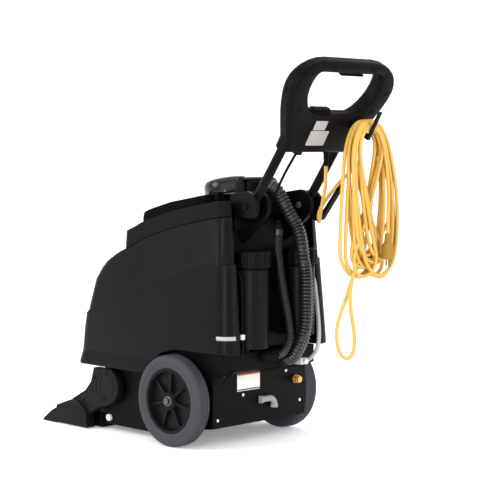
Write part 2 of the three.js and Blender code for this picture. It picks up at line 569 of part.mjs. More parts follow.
// ---------------------------------------------------------------- vacuum motor and its cover
const VAC_MOTOR_FOOT = 520;
const VAC_DECK_Z = heightOn(recoveryTop, RECESS_Y) + 4;
const vacBody = turned([
  [0, VAC_MOTOR_FOOT], [VAC_MOTOR_RADIUS, VAC_MOTOR_FOOT], [VAC_MOTOR_RADIUS, 650], [VAC_MOTOR_RADIUS - 4, 650],
  [VAC_MOTOR_RADIUS - 4, 600], [0, 600],
], 'z', 28);
add(machine, 'vacuum_motor', vacBody, STEEL, [0, VAC_MOTOR_Y, 0]);
const FAN_RADIUS = VAC_MOTOR_RADIUS - 9;
add(machine, 'vacuum_fan', surface(join(
  solid(bar('z', FAN_RADIUS, 0, 0, 612, 616, 28)), solid(bar('z', FAN_RADIUS, 0, 0, 630, 634, 28)),
  solid(bar('z', 14, 0, 0, 602, 640, 16)),
)), STEEL, [0, VAC_MOTOR_Y, 0]);
const COVER_HALF_WIDTH = 69;
const COVER_FRONT = 82;
const COVER_BACK = 136;
const COVER_TOP = 738;
const vacCover = cut(
  solid(loft([[VAC_DECK_Z - 8, 0], [COVER_TOP - 14, 0], [COVER_TOP - 4, 4], [COVER_TOP, 12]].map(([z, inset]) => plan(
    COVER_HALF_WIDTH - inset, COVER_FRONT + inset, COVER_BACK - inset, 20, z,
  )))),
  solid(box(-COVER_HALF_WIDTH + 5, COVER_HALF_WIDTH - 5, COVER_FRONT + 5, COVER_BACK - 5, 600, COVER_TOP - 8)),
  between([[-470, 0], [400, 0]], raised(recoveryTop.map(([y, z]) => [y === -238 ? -470 : y, z]), GAP)),
);
const hosePort = solid(bar('y', VAC_HOSE_RADIUS + 2, -2, 712, COVER_BACK - 3, COVER_BACK + 22, 20));
add(machine, 'vacuum_cover', surface(join(vacCover, hosePort)), BLACK);

// ---------------------------------------------------------------- fittings in the rear channel
/** A ribbed screw cap, open underneath. */
function ribbedCap() {
  const shell = solid(turned([
    [NECK_RADIUS + RUNNING, 0], [CAP_RADIUS - 2, 0], [CAP_RADIUS - 2, CAP_HEIGHT - 3], [CAP_RADIUS - 5, CAP_HEIGHT],
    [0, CAP_HEIGHT], [0, CAP_HEIGHT - 8], [NECK_RADIUS + RUNNING, CAP_HEIGHT - 8], [NECK_RADIUS + RUNNING, 0],
  ], 'z', 32));
  const ribs = Array.from({ length: 12 }, (_, i) => solid(
    box(CAP_RADIUS - 5, CAP_RADIUS, -4, 4, 0, CAP_HEIGHT - 5).rotateZ((i / 12) * 2 * Math.PI),
  ));
  return surface(join(shell, ...ribs));
}
addPair(machine, 'tank_cap', ribbedCap(), BLACK, [CAP_X, CAP_Y, CAP_Z + GAP]);

// corrugated hoses, drawn plain at their outer diameter
add(machine, 'vacuum_hose', hose([
  [-3, COVER_BACK + 22 + GAP, 712], [-3, 166, 712], [-6, 180, 704], [-10, 194, 684], [-14, 206, 662], [-24, 219, 632], [-36, 230, 602], [-38, 241, 570],
  [-38, 247, 540], [-42, 248, 511], [-52, 246, 480], [-58, 244, 400], [-58, 241, 330], [-54, 233, 290], [-50, 219, 262],
  [-52, 203, 244], [-54, 186, 235], [-54, 173, 233], [-54, COVER_REAR_Y + GAP, 233],
], VAC_HOSE_RADIUS, 12, 46), SATIN);
const drainRun = hose([
  [11, 203, 598], [11, 203, 588], [14, 202, 560], [5, 205, 485], [-8, 209, 412], [-22, 213, 340], [-26, 213, 300], [-18, 210, 274],
  [-4, 203, 256], [10, 189, 249],
], DRAIN_HOSE_RADIUS, 12, 30);
const drainCuff = hose([
  [8, 190, 249], [18, 181, 249], [26, 171, 249], [26, COVER_REAR_Y + GAP, 249],
], DRAIN_HOSE_RADIUS + 3.5, 16, 6);
add(machine, 'drain_hose', surface(join(solid(drainRun), solid(drainCuff))), SATIN);
add(machine, 'drain_plug', surface(join(
  solid(bar('z', DRAIN_HOSE_RADIUS + 1.5, 0, 0, 0, 12, 20)), solid(bar('z', 8, 0, 0, 12, 24, 16)),
)), SATIN, [11, 203, 598 + GAP]);
add(machine, 'level_tube', hose([
  [-146, RECESS_Y + GAP, 470], [-146, 168, 469], [-145, 189, 455], [-143, 202, 410], [-139, 212, 365], [-138, 218, 318], [-138, 218, 282],
  [-138, 211, 254], [-134, 196, 233], [-126, 184, 223], [-116 - GAP, 184, 223],
], LEVEL_TUBE_RADIUS, 10, 26), PALE);
add(machine, 'level_fitting', surface(join(
  solid(box(-116, -92, COVER_REAR_Y + GAP, 194, 214, 232)), solid(bar('y', 8, -104, 223, 190, 204, 14)),
)), GREY);
const cableRun = hose([
  [141, RECESS_Y + GAP, 492], [141, 166, 490], [141, 186, 480], [141, 195, 455], [141, 196, 400], [141, 196, 320],
  [141, 197, 275], [138, 190, 250], [141, 176, 226], [150, 158, 205], [160, 146, 186], [164, 137, 174],
], 3, 8, 34);
const connector = bar('y', 15, 164, 170, BASE_REAR_Y + GAP, BASE_REAR_Y + 14, 20);
add(machine, 'sensor_cable', surface(join(solid(cableRun), solid(connector))), SATIN);
add(machine, 'quick_coupler', surface(join(
  solid(bar('y', 13, 0, 0, 0, 10, 6)), solid(bar('y', 9, 0, 0, 9, 26, 18)), solid(bar('y', 11, 0, 0, 14, 20, 18)),
)), BRASS, [-134, BASE_REAR_Y + GAP, 164]);

// ---------------------------------------------------------------- handle brackets
const PLATE_IN = 78;
const PLATE_OUT = PIVOT_X - TUBE_RADIUS - 2;
const EAR_IN = PIVOT_X + TUBE_RADIUS + 1.5;
const EAR_OUT = EAR_IN + 13;
const EAR_RADIUS = 43;

/** Side view of a bracket: round about the pivot, its underside sweeping down to the tank. */
function earOutline(radius, footZ) {
  const round = Array.from({ length: 9 }, (_, i) => {
    const t = ((-50 + i * (140 / 8)) * Math.PI) / 180;
    return [PIVOT_Y + radius * Math.cos(t), PIVOT_Z + radius * Math.sin(t)];
  });
  const wall = RECESS_Y + GAP;
  return [...round, [wall, PIVOT_Z + radius - 8], [wall, footZ]];
}

const bracket = cut(
  join(
    solid(prism(earOutline(EAR_RADIUS, 560), 'x', PLATE_IN, PLATE_OUT)),
    solid(prism(earOutline(EAR_RADIUS - 2, 632), 'x', EAR_IN, EAR_OUT)),
    solid(box(PLATE_IN, EAR_OUT, RECESS_Y + GAP, RECESS_Y + 18, 600, PIVOT_Z - 16)),
  ),
  solid(bar('x', PIVOT_BOLT_RADIUS + GAP, PIVOT_Y, PIVOT_Z, 0, 300)),
);
addPair(machine, 'handle_bracket', surface(bracket), BLACK);
addPair(machine, 'pivot_bolt', surface(join(
  solid(bar('x', PIVOT_BOLT_RADIUS, 0, 0, PLATE_IN - 6 - PIVOT_X, EAR_OUT + 5 - PIVOT_X, 16)),
  solid(bar('x', 9, 0, 0, PLATE_IN - 6 - PIVOT_X, PLATE_IN - GAP - PIVOT_X, 6)),
  solid(bar('x', 9, 0, 0, EAR_OUT + GAP - PIVOT_X, EAR_OUT + 5 - PIVOT_X, 12)),
)), STEEL, [PIVOT_X, PIVOT_Y, PIVOT_Z]);

// ---------------------------------------------------------------- handle
const rad = (degrees) => (degrees * Math.PI) / 180;
const handle = new THREE.Group(); // origin at the pivot, +Z along the tubes
handle.position.set(0, PIVOT_Y, PIVOT_Z);
handle.rotation.x = -rad(TUBE_LEAN);
machine.add(handle);
const grip = new THREE.Group(); // origin at the foot of the handle head, +Z up its face
grip.position.set(0, 5, TUBE_LENGTH);
grip.rotation.x = rad(TUBE_LEAN - HEAD_LEAN);
handle.add(grip);

const tube = cut(
  solid(bar('z', TUBE_RADIUS, 0, 0, -TUBE_RADIUS - 2, TUBE_LENGTH + TUBE_SOCKET)),
  solid(bar('z', TUBE_RADIUS - TUBE_WALL, 0, 0, -60, TUBE_LENGTH + TUBE_SOCKET + 10)),
  solid(bar('x', PIVOT_BOLT_RADIUS + GAP, 0, 0, -60, 60)),
);
addPair(handle, 'handle_tube', surface(tube), BLACK, [PIVOT_X, 0, 0]);

const BAR_DEPTH = 32; // across the bar above the hand hole

/** The handle head's outline with its hand hole, drawn in by an amount all round. */
function gripShape(inset) {
  const [w, h, d] = [GRIP_HALF_WIDTH, GRIP_HEIGHT, inset];
  const foot = PIVOT_X + 24;
  const s = new THREE.Shape();
  s.moveTo(-foot + d, GRIP_FOOT + d);
  s.lineTo(foot - d, GRIP_FOOT + d);
  s.lineTo(foot - d, 40);
  s.bezierCurveTo(foot + 23 - d, 85, w - d, 150, w - d, 200);
  s.bezierCurveTo(w - d, h - 36, w - 46, h - d, w - 102, h - d);
  s.lineTo(-w + 102, h - d);
  s.bezierCurveTo(-w + 46, h - d, -w + d, h - 36, -w + d, 200);
  s.bezierCurveTo(-w + d, 150, -foot - 23 + d, 85, -foot + d, 40);
  s.closePath();
  const hole = new THREE.Path();
  const [a, top, low] = [w - 66 + d, h - BAR_DEPTH + d, 124 - d];
  hole.moveTo(-72, low);
  hole.bezierCurveTo(-98, low + 4, -a, 170, -a, 205);
  hole.bezierCurveTo(-a, top - 9, -a + 9, top, -a + 26, top);
  hole.lineTo(a - 26, top);
  hole.bezierCurveTo(a - 9, top, a, top - 9, a, 205);
  hole.bezierCurveTo(a, 170, 98, low + 4, 72, low);
  hole.closePath();
  s.holes.push(hole);
  return s;
}

const tubeInGrip = [1, -1].map((side) => {
  const socket = bar('z', TUBE_RADIUS + GAP, 0, 0, -30, TUBE_SOCKET + 3);
  return solid(socket.rotateX(-rad(TUBE_LEAN - HEAD_LEAN)).translate(side * PIVOT_X, -5, 0));
});
const clampBlocks = [1, -1].map((side) => solid(box(side * PIVOT_X - 22, side * PIVOT_X + 22, -60, 60, 0, TUBE_SOCKET + 2)));

/** One half of the handle head: a tray with solid blocks that clamp the tubes. */
const gripBody = pillow(gripShape(0), -GRIP_FRONT, GRIP_REAR, GRIP_ROUND);
const gripRoom = pillow(gripShape(GRIP_WALL), -GRIP_FRONT + GRIP_WALL, GRIP_REAR - GRIP_WALL, GRIP_ROUND - GRIP_WALL);
const gripShell = cut(solid(gripBody), cut(solid(gripRoom), ...clampBlocks), ...tubeInGrip);
const gripHalf = (from, to) => surface(gripShell.intersect(solid(box(-400, 400, from, to, -100, 500))));
add(grip, 'grip_front_shell', gripHalf(-100, -GAP / 2), BLACK);
add(grip, 'grip_rear_shell', gripHalf(GAP / 2, 100), BLACK);

const SWITCH_Z = 124 + GAP;
add(grip, 'switch_bezel', box(0, 70, -12, 16, SWITCH_Z, SWITCH_Z + 3), SATIN);
for (const [name, x] of [['brush_switch', 18], ['vacuum_switch', 52]]) {
  add(grip, name, prism([[-10, 3.5], [0, 0.8], [10, 3.5], [10, 6], [0, 8], [-10, 6]], 'x', -15, 15), SATIN, [x, 2, SWITCH_Z + 3]);
}
const lever = add(grip, 'spray_lever', box(-44, 44, 0, 24, -5.5, 0), SATIN, [-16, -8, GRIP_HEIGHT - BAR_DEPTH - 1.4]);
lever.rotation.x = -rad(8);

const RELIEF_LENGTH = 42;
const relief = solid(turned([[0, 6], [8.5, 6], [6.5, -RELIEF_LENGTH], [0, -RELIEF_LENGTH]], 'z', 14).rotateX(rad(HEAD_LEAN)));
add(grip, 'strain_relief', surface(join(
  cut(relief, solid(box(-30, 30, -30, 30, -GAP, 30))), solid(bar('z', 11, 0, 0, -5, -GAP, 16)),
)), SATIN, [-52, 8, GRIP_FOOT]);
add(grip, 'switch_conduit', surface(join(
  solid(box(44, 66, -4, 14, GRIP_FOOT - 12, GRIP_FOOT - GAP)), solid(hose([[55, 4, GRIP_FOOT - 11], [55, -3, -60], [55, -5, -100], [55, -4, -136]], 4, 8, 8)),
)), SATIN);

const HOOK_X = -98;
const HOOK_HALF = 6;
const LOWER_HOOK_HALF = 8;
/** The upper cord hook in side view: a stem off the rear shell and a plate along the handle head. */
const upperHook = [[GAP, -7], [61, -7], [61, 78], [55, 78], [55, 7], [GAP, 7]];
add(grip, 'upper_cord_hook', prism(upperHook, 'x', -HOOK_HALF, HOOK_HALF), SATIN, [HOOK_X, GRIP_REAR, 94]);
const lowerHook = new THREE.Group();
lowerHook.rotation.x = rad(TUBE_LEAN);
handle.add(lowerHook);
const lowerHookOutline = [
  [4, -22], [40, -44], [62, -40], [136, 54], [129, 60], [56, -28], [42, -32], [20, -16], [12, -13],
];
add(lowerHook, 'lower_cord_hook', prism(lowerHookOutline, 'x', -LOWER_HOOK_HALF, LOWER_HOOK_HALF), SATIN, [-PIVOT_X, 0, 0]);

// ---------------------------------------------------------------- cord, stored on the handle
const CORD_SIDES = 8;
const HANK_FRONT = 402;
const HANK_REAR = 440;
const lead = [
  [-52, 320.6, 769], [-52, 320.6, 754], [-52, 318, 710], [-52, 310, 673], [-53, 301, 646], [-59, 292, 627], [-70, 281, 616],
  [-82, 268, 620], [-90, 261, 636], [-92.5, 266, 654], [-93.5, 287, 680], [-93, 310, 704], [-90, 334, 724],
  [-82, 360, 740], [-74, 384, 750], [-70, 393, 752], [-70, HANK_FRONT - GAP, 752],
];
add(machine, 'cord_lead', hose(lead, CORD_RADIUS, CORD_SIDES, 36), YELLOW);

const hankShape = new THREE.Shape();
hankShape.moveTo(-4, 808);
hankShape.absarc(-104, 808, 100, 0, Math.PI, false);
hankShape.bezierCurveTo(-262, 750, -292, 640, -258, 520);
hankShape.bezierCurveTo(-246, 476, -200, 452, -150, 456);
hankShape.lineTo(-106, 470);
hankShape.lineTo(-96, 505);
hankShape.lineTo(-40, 505);
hankShape.bezierCurveTo(0, 560, -4, 700, -4, 808);
const hankHole = new THREE.Path();
hankHole.moveTo(-62, 832);
hankHole.absarc(-104, 832, 42, 0, Math.PI, false);
hankHole.lineTo(-128, 730);
hankHole.lineTo(-80, 730);
hankHole.closePath();
hankShape.holes.push(hankHole);
add(machine, 'cord_hank', prism(hankShape, 'y', HANK_FRONT, HANK_REAR, 10), YELLOW);

const dropLoop = [
  [-70, 412, 505 - GAP], [-70, 412, 492], [-58, 411, 468], [-40, 410, 435], [-31, 409, 405], [-9, 409, 375], [3, 410, 345], [6, 412, 315],
  [-7, 413, 283], [-29, 414, 261], [-51, 415, 257], [-65, 416, 277], [-63, 417, 315], [-47, 421, 365], [-31, 425, 410],
  [-33, 426, 445], [-46, 426, 470], [-54, 426, 492], [-54, 426, 505 - GAP],
];
add(machine, 'cord_drop', hose(dropLoop, CORD_RADIUS, CORD_SIDES, 44), YELLOW);
add(machine, 'cord_plug', surface(join(
  solid(turned([[0, 0], [14, 0], [16, 4], [16, 38], [10, 46], [7, 70], [0, 70]], 'z', 18)),
  solid(box(-7, -5, -3, 3, -18, 2)), solid(box(5, 7, -3, 3, -18, 2)), solid(bar('z', 2.4, 0, 6, -20, 2, 10)),
)), SATIN, [-149, HANK_REAR + 17, 520]);

// ---------------------------------------------------------------- stand the machine on its origin
const CORD = ['cord_lead', 'cord_hank', 'cord_drop', 'cord_plug'];
machine.updateMatrixWorld(true);
const footprint = new THREE.Box3();
machine.traverse((piece) => {
  if (piece.isMesh && !CORD.includes(piece.name)) footprint.expandByObject(piece, true);
});
const centre = footprint.getCenter(new THREE.Vector3());
machine.position.set(-centre.x, -centre.y, -footprint.min.z);
machine.updateMatrixWorld(true);

export default machine;
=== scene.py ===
import math

import bmesh
import bpy
import numpy as np
from mathutils import Matrix, Vector


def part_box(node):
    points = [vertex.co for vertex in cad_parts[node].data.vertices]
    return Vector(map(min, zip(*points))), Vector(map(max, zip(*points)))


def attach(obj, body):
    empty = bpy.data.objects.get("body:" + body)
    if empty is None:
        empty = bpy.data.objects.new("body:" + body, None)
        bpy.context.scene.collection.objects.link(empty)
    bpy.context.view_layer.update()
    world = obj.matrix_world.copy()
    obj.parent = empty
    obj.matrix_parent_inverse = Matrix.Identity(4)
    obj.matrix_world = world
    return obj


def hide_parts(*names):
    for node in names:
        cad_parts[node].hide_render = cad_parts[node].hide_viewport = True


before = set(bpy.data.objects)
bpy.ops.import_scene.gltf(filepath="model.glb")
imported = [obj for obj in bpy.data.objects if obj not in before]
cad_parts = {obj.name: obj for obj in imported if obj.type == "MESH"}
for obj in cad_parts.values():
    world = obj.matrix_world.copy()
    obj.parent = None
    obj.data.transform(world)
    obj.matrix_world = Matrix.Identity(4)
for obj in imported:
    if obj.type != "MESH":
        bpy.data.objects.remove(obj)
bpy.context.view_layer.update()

# ---------------------------------------------------------------- camera
# A long lens behind the machine's left rear corner, a little above the tank. Places in this file are
# taken from the point on the floor under the middle of the axle, in metres: x to the machine's left,
# y to its rear, z up.
axle_low, axle_high = (np.array(corner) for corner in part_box("axle"))
UNDER_AXLE = np.array([0.0, (axle_low[1] + axle_high[1]) / 2, 0.0])
CAMERA_TURN = math.radians(134.905)
CAMERA_RISE = math.radians(3.806)
CAMERA_DISTANCE = 4.276
CAMERA_AIM_HEIGHT = 0.5304
CAMERA_AIM_RIGHT = 0.0596
LENS_MM = 108.97

level = math.cos(CAMERA_RISE)
sight = np.array([math.sin(CAMERA_TURN) * level, -math.cos(CAMERA_TURN) * level, math.sin(CAMERA_RISE)])
camera_right = np.array([math.cos(CAMERA_TURN), math.sin(CAMERA_TURN), 0.0])
aim = UNDER_AXLE + [0, 0, CAMERA_AIM_HEIGHT] + CAMERA_AIM_RIGHT * camera_right
camera_data = bpy.data.cameras.new("studio_camera")
camera_data.lens = LENS_MM
camera_data.sensor_width = 36
camera_data.clip_end = 50
camera = bpy.data.objects.new("studio_camera", camera_data)
camera.location = aim + CAMERA_DISTANCE * sight
camera.rotation_euler = Vector(-sight).to_track_quat("-Z", "Y").to_euler()
bpy.context.collection.objects.link(camera)
bpy.context.scene.camera = camera


# ---------------------------------------------------------------- floor and light
# A seamless white sweep that glows a little, a large soft light overhead, one on each side and a tall
# narrow one beside the lens.
def studio_material(name, colour, roughness, glow):
    material = bpy.data.materials.new(name)
    material.use_nodes = True
    shader = material.node_tree.nodes["Principled BSDF"]
    shader.inputs["Base Color"].default_value = (*colour, 1)
    shader.inputs["Roughness"].default_value = roughness
    shader.inputs["Emission Color"].default_value = (1, 1, 1, 1)
    shader.inputs["Emission Strength"].default_value = glow
    return material


def sweep_surface(half_width, front, rear, bend_radius, height):
    """A flat floor that turns up into a wall: the profile runs straight, round a quarter circle, straight."""
    turn = np.linspace(0, math.pi / 2, 13)
    profile = np.concatenate([
        [[rear, 0.0]],
        np.stack([front - bend_radius * np.sin(turn), bend_radius * (1 - np.cos(turn))], 1),
        [[front - bend_radius, height]],
    ])
    across = np.array([-half_width, half_width])
    count = len(profile)
    grid = np.stack([
        np.repeat(across[:, None], count, 1),
        np.repeat(profile[None, :, 0], 2, 0),
        np.repeat(profile[None, :, 1], 2, 0),
    ], -1)
    faces = [(i, i + 1, count + i + 1, count + i) for i in range(count - 1)]
    mesh = bpy.data.meshes.new("studio_sweep")
    mesh.from_pydata(grid.reshape(-1, 3).tolist(), [], faces)
    mesh.polygons.foreach_set("use_smooth", [True] * len(mesh.polygons))
    return bpy.data.objects.new("studio_sweep", mesh)


sweep = sweep_surface(14, -3.2, 9, 1.6, 7)
sweep.data.transform(Matrix.Rotation(CAMERA_TURN - math.pi, 4, "Z"))
sweep.data.materials.append(studio_material("studio_white", (0.93, 0.93, 0.93), 0.9, 0.22))
bpy.context.collection.objects.link(sweep)

world = bpy.data.worlds.new("studio_air")
world.use_nodes = True
world.node_tree.nodes["Background"].inputs["Color"].default_value = (1, 1, 1, 1)
world.node_tree.nodes["Background"].inputs["Strength"].default_value = 0.94
bpy.context.scene.world = world


def soft_light(name, turn, distance, height, size, power):
    """An area light aimed at the middle of the machine from a turn about it, a distance and a height."""
    data = bpy.data.lights.new(name, "AREA")
    data.shape = "RECTANGLE"
    data.size, data.size_y = size
    data.energy = power
    light = bpy.data.objects.new(name, data)
    place = Vector((math.sin(turn) * distance, -math.cos(turn) * distance, height))
    light.location = place
    light.rotation_euler = (Vector((0, 0, 0.45)) - place).to_track_quat("-Z", "Y").to_euler()
    bpy.context.collection.objects.link(light)


soft_light("rear_light", CAMERA_TURN - math.radians(14), 3.4, 1.1, (0.4, 2.0), 44)
soft_light("overhead_light", CAMERA_TURN, 0.3, 3.4, (3.2, 3.2), 30)
soft_light("left_light", CAMERA_TURN - math.radians(72), 3.2, 1.9, (1.6, 2.4), 60)
soft_light("right_light", CAMERA_TURN + math.radians(62), 3.4, 1.6, (1.2, 2.4), 45)
bpy.context.scene.view_settings.view_transform = "Standard"


# ---------------------------------------------------------------- mains cord
# Fifteen metres of round yellow three-core cord. It leaves the handle head through a ribbed strain
# relief, bends round the lower hook and is wound in a loose hank over the upper hook, with one long
# loop that slipped down, and it ends in a moulded plug.
CORD_DIAMETER = 0.010
HOOK_TOP = np.array([-0.104, 0.832])  # middle of the hank's upper bend, x and z
HANK_FOOT_Z = 0.492
HANK_LAYERS_Y = np.array([0.4075, 0.4167, 0.4259, 0.4351])
UPPER_BEND_RADIUS = 0.047
LOWER_BEND_RADIUS = 0.045
TURNS = 15.42
STEPS_PER_TURN = 18
DROP_TURN = 6  # the turn that slipped down
# shares of one turn: it starts part of the way up, goes over the hook, down, round the bottom and up again
START_RISE = 0.30
OVER_FROM, OVER_TO = 0.16, 0.34
UNDER_FROM, UNDER_TO = 0.70, 0.84

lead_points = np.array([
    [-0.052, 0.3206, 0.7690], [-0.052, 0.3206, 0.754], [-0.052, 0.318, 0.710], [-0.052, 0.310, 0.673],
    [-0.053, 0.301, 0.648], [-0.058, 0.294, 0.628], [-0.068, 0.283, 0.615], [-0.081, 0.268, 0.616],
    [-0.091, 0.258, 0.632], [-0.0935, 0.261, 0.654], [-0.0935, 0.287, 0.680], [-0.093, 0.310, 0.704],
    [-0.090, 0.334, 0.724], [-0.082, 0.360, 0.740], [-0.074, 0.384, 0.750], [-0.070, 0.395, 0.753],
])
drop_points = np.array([
    [-0.090, 0.412, 0.525], [-0.072, 0.412, 0.495], [-0.058, 0.411, 0.468], [-0.040, 0.410, 0.435],
    [-0.031, 0.409, 0.405], [-0.009, 0.409, 0.375], [0.003, 0.410, 0.345], [0.006, 0.412, 0.315],
    [0.001, 0.413, 0.288], [-0.014, 0.414, 0.263], [-0.037, 0.415, 0.254], [-0.059, 0.416, 0.266],
    [-0.067, 0.417, 0.303], [-0.047, 0.421, 0.365], [-0.031, 0.425, 0.410], [-0.033, 0.426, 0.445],
    [-0.044, 0.426, 0.475], [-0.050, 0.426, 0.505],
])
tail_points = np.array([
    [-0.166, 0.446, 0.700], [-0.155, 0.454, 0.668], [-0.150, 0.457, 0.640], [-0.149, 0.457, 0.615],
    [-0.149, 0.457, 0.589],
])


def hank_turns(count, steps):
    """Each turn is a long loop: half a circle over the hook, two sides that close in on a smaller half circle
    below; every third one is twisted, so that its sides cross. Its size steps out and in again from turn to
    turn and its layer moves back, as a winder's hand does."""
    t = np.arange(int(count * steps) + 1) / steps
    turn = np.floor(t)
    part = t - turn
    winding = np.floor(t + 0.75)  # changes at the top of the hook, where all the turns lie together
    size = np.interp(t % 8, [0, 3.5, 4, 7.5, 8], [0, 3.2, 3.2, 0, 0])
    layer = np.interp(t, [0, 3.5, 4, 7.5, 8, 11.5, 12, 16], [0, 0, 1, 1, 2, 2, 3, 3])
    top_radius = UPPER_BEND_RADIUS + 0.0082 * size
    low_radius = LOWER_BEND_RADIUS + 0.008 * size + 0.005 * np.sin(2.4 * winding)
    low_z = HANK_FOOT_Z - 0.008 * size + 0.026 * np.sin(1.7 * winding + 0.5)
    drift = -0.014 + 0.040 * np.sin(2.3 * winding + 0.9)
    low_radius = np.where(winding % 3 == 2, -0.9, 1.0) * low_radius  # below zero: the sides cross
    bulge = 0.006 + 0.034 * np.clip(np.sin(2.1 * winding + 0.3), 0, 1)

    stages = [0, OVER_FROM, OVER_TO, UNDER_FROM, UNDER_TO, 1]
    angle = np.interp(part, stages, [0, 0, math.pi, math.pi, 2 * math.pi, 2 * math.pi])
    over = (part > OVER_FROM) & (part < OVER_TO)
    under = (part > UNDER_FROM) & (part < UNDER_TO)
    first_up = np.interp(part, [0, OVER_FROM], [START_RISE, 1.0])
    down = np.interp(part, [OVER_TO, UNDER_FROM], [1.0, 0.0])
    last_up = np.interp(part, [UNDER_TO, 1.0], [0.0, START_RISE])
    stage = [part <= OVER_FROM, over, part <= UNDER_FROM, under]
    rise = np.select(stage, [first_up, 0.0, down, 0.0], last_up)

    low_middle_z = low_z + np.abs(low_radius)
    eased = rise ** 0.8
    reach = low_radius + (top_radius - low_radius) * eased
    middle_x = HOOK_TOP[0] + drift * (1 - eased)
    sideways = np.cos(angle)
    belly = bulge * np.sin(math.pi * rise) * np.where(sideways < 0, 1.0, 0.35)
    x = middle_x + sideways * (reach + belly)
    z = low_middle_z + (HOOK_TOP[1] - low_middle_z) * rise
    x = np.where(over, HOOK_TOP[0] + top_radius * sideways, x)
    z = np.where(over, HOOK_TOP[1] + top_radius * np.sin(angle), z)
    x = np.where(under, HOOK_TOP[0] + drift + low_radius * sideways, x)
    z = np.where(under, low_middle_z + np.abs(low_radius) * np.sin(angle), z)
    y = np.interp(layer, np.arange(4), HANK_LAYERS_Y) + 0.0012 * np.sin(5 * t)
    y = y + np.where(low_radius < 0, 0.004 * sideways, 0.0)
    return np.stack([x, y, z], 1), t


# The slipped loop leaves its turn on the way down and comes back to it on the way up.
DROP_LEAVES = DROP_TURN + 0.62
DROP_RETURNS = DROP_TURN + 0.86
wound, wound_turns = hank_turns(TURNS, STEPS_PER_TURN)
before_drop = wound[wound_turns < DROP_LEAVES][2:]  # the lead takes the place of the first two points
after_drop = wound[wound_turns > DROP_RETURNS]
cord_route = np.concatenate([lead_points, before_drop, drop_points, after_drop, tail_points]) + UNDER_AXLE


def smooth_route(points, per_span):
    """A centripetal spline through the points: each span is blended from the chords on either side of it."""
    ends = np.concatenate([[2 * points[0] - points[1]], points, [2 * points[-1] - points[-2]]])
    knots = np.concatenate([[0], np.cumsum(np.sqrt(np.linalg.norm(np.diff(ends, axis=0), axis=1)))])
    p0, p1, p2, p3 = ends[:-3], ends[1:-2], ends[2:-1], ends[3:]
    k0, k1, k2, k3 = (knots[i:len(knots) - 3 + i, None, None] for i in range(4))
    p0, p1, p2, p3 = (p[:, None, :] for p in (p0, p1, p2, p3))
    k = k1 + (k2 - k1) * (np.arange(per_span) / per_span)[None, :, None]
    a1 = (k1 - k) / (k1 - k0) * p0 + (k - k0) / (k1 - k0) * p1
    a2 = (k2 - k) / (k2 - k1) * p1 + (k - k1) / (k2 - k1) * p2
    a3 = (k3 - k) / (k3 - k2) * p2 + (k - k2) / (k3 - k2) * p3
    b1 = (k2 - k) / (k2 - k0) * a1 + (k - k0) / (k2 - k0) * a2
    b2 = (k3 - k) / (k3 - k1) * a2 + (k - k1) / (k3 - k1) * a3
    curve = (k2 - k) / (k2 - k1) * b1 + (k - k1) / (k2 - k1) * b2
    return np.concatenate([curve.reshape(-1, 3), points[-1:]])


def relaxed(points, rounds):
    """Each inner point moves towards the middle of its neighbours, as a stiff cord straightens its kinks."""
    for _ in range(rounds):
        inner = 0.5 * points[1:-1] + 0.25 * (points[:-2] + points[2:])
        points = np.concatenate([points[:1], inner, points[-1:]])
    return points


def cord_curve(name, points, radius):
    """One open poly spline along the points, thickened to a round section."""
    data = bpy.data.curves.new(name, "CURVE")
    data.dimensions = "3D"
    data.bevel_depth = radius
    data.bevel_resolution = 3
    data.use_fill_caps = True
    spline = data.splines.new("POLY")
    spline.points.add(len(points) - 1)
    spline.points.foreach_set("co", np.concatenate([points, np.ones((len(points), 1))], 1).ravel())
    spline.use_smooth = True
    return bpy.data.objects.new(name, data)


POINTS_PER_SPAN = 4
HELD_POINTS = 8  # the straight stretch inside the strain relief stays where it is
RELAXING_ROUNDS = 14
fine_route = smooth_route(cord_route, POINTS_PER_SPAN)
fine_route = np.concatenate([fine_route[:HELD_POINTS], relaxed(fine_route[HELD_POINTS:], RELAXING_ROUNDS)])


# Every moulded, painted or rubber surface has a fine grain and is a little uneven in shade and gloss from
# handling.
def node_group(name, inputs, outputs):
    """An empty shader node group: inputs are name: value, as a number or a colour, and outputs name: kind."""
    group = bpy.data.node_groups.new(name, "ShaderNodeTree")
    for label, value in inputs.items():
        kind = "NodeSocketColor" if isinstance(value, tuple) else "NodeSocketFloat"
        socket = group.interface.new_socket(label, in_out="INPUT", socket_type=kind)
        socket.default_value = value
    for label, kind in outputs.items():
        group.interface.new_socket(label, in_out="OUTPUT", socket_type=kind)
    return group, group.nodes.new("NodeGroupInput"), group.nodes.new("NodeGroupOutput")


def add_node(tree, kind, **settings):
    """A new node; each setting is one of its properties or, with _ for a space, one of its inputs."""
    node = tree.nodes.new(kind)
    for key, value in settings.items():
        if key in node.bl_rna.properties:
            setattr(node, key, value)
        else:
            node.inputs[key.replace("_", " ")].default_value = value
    return node


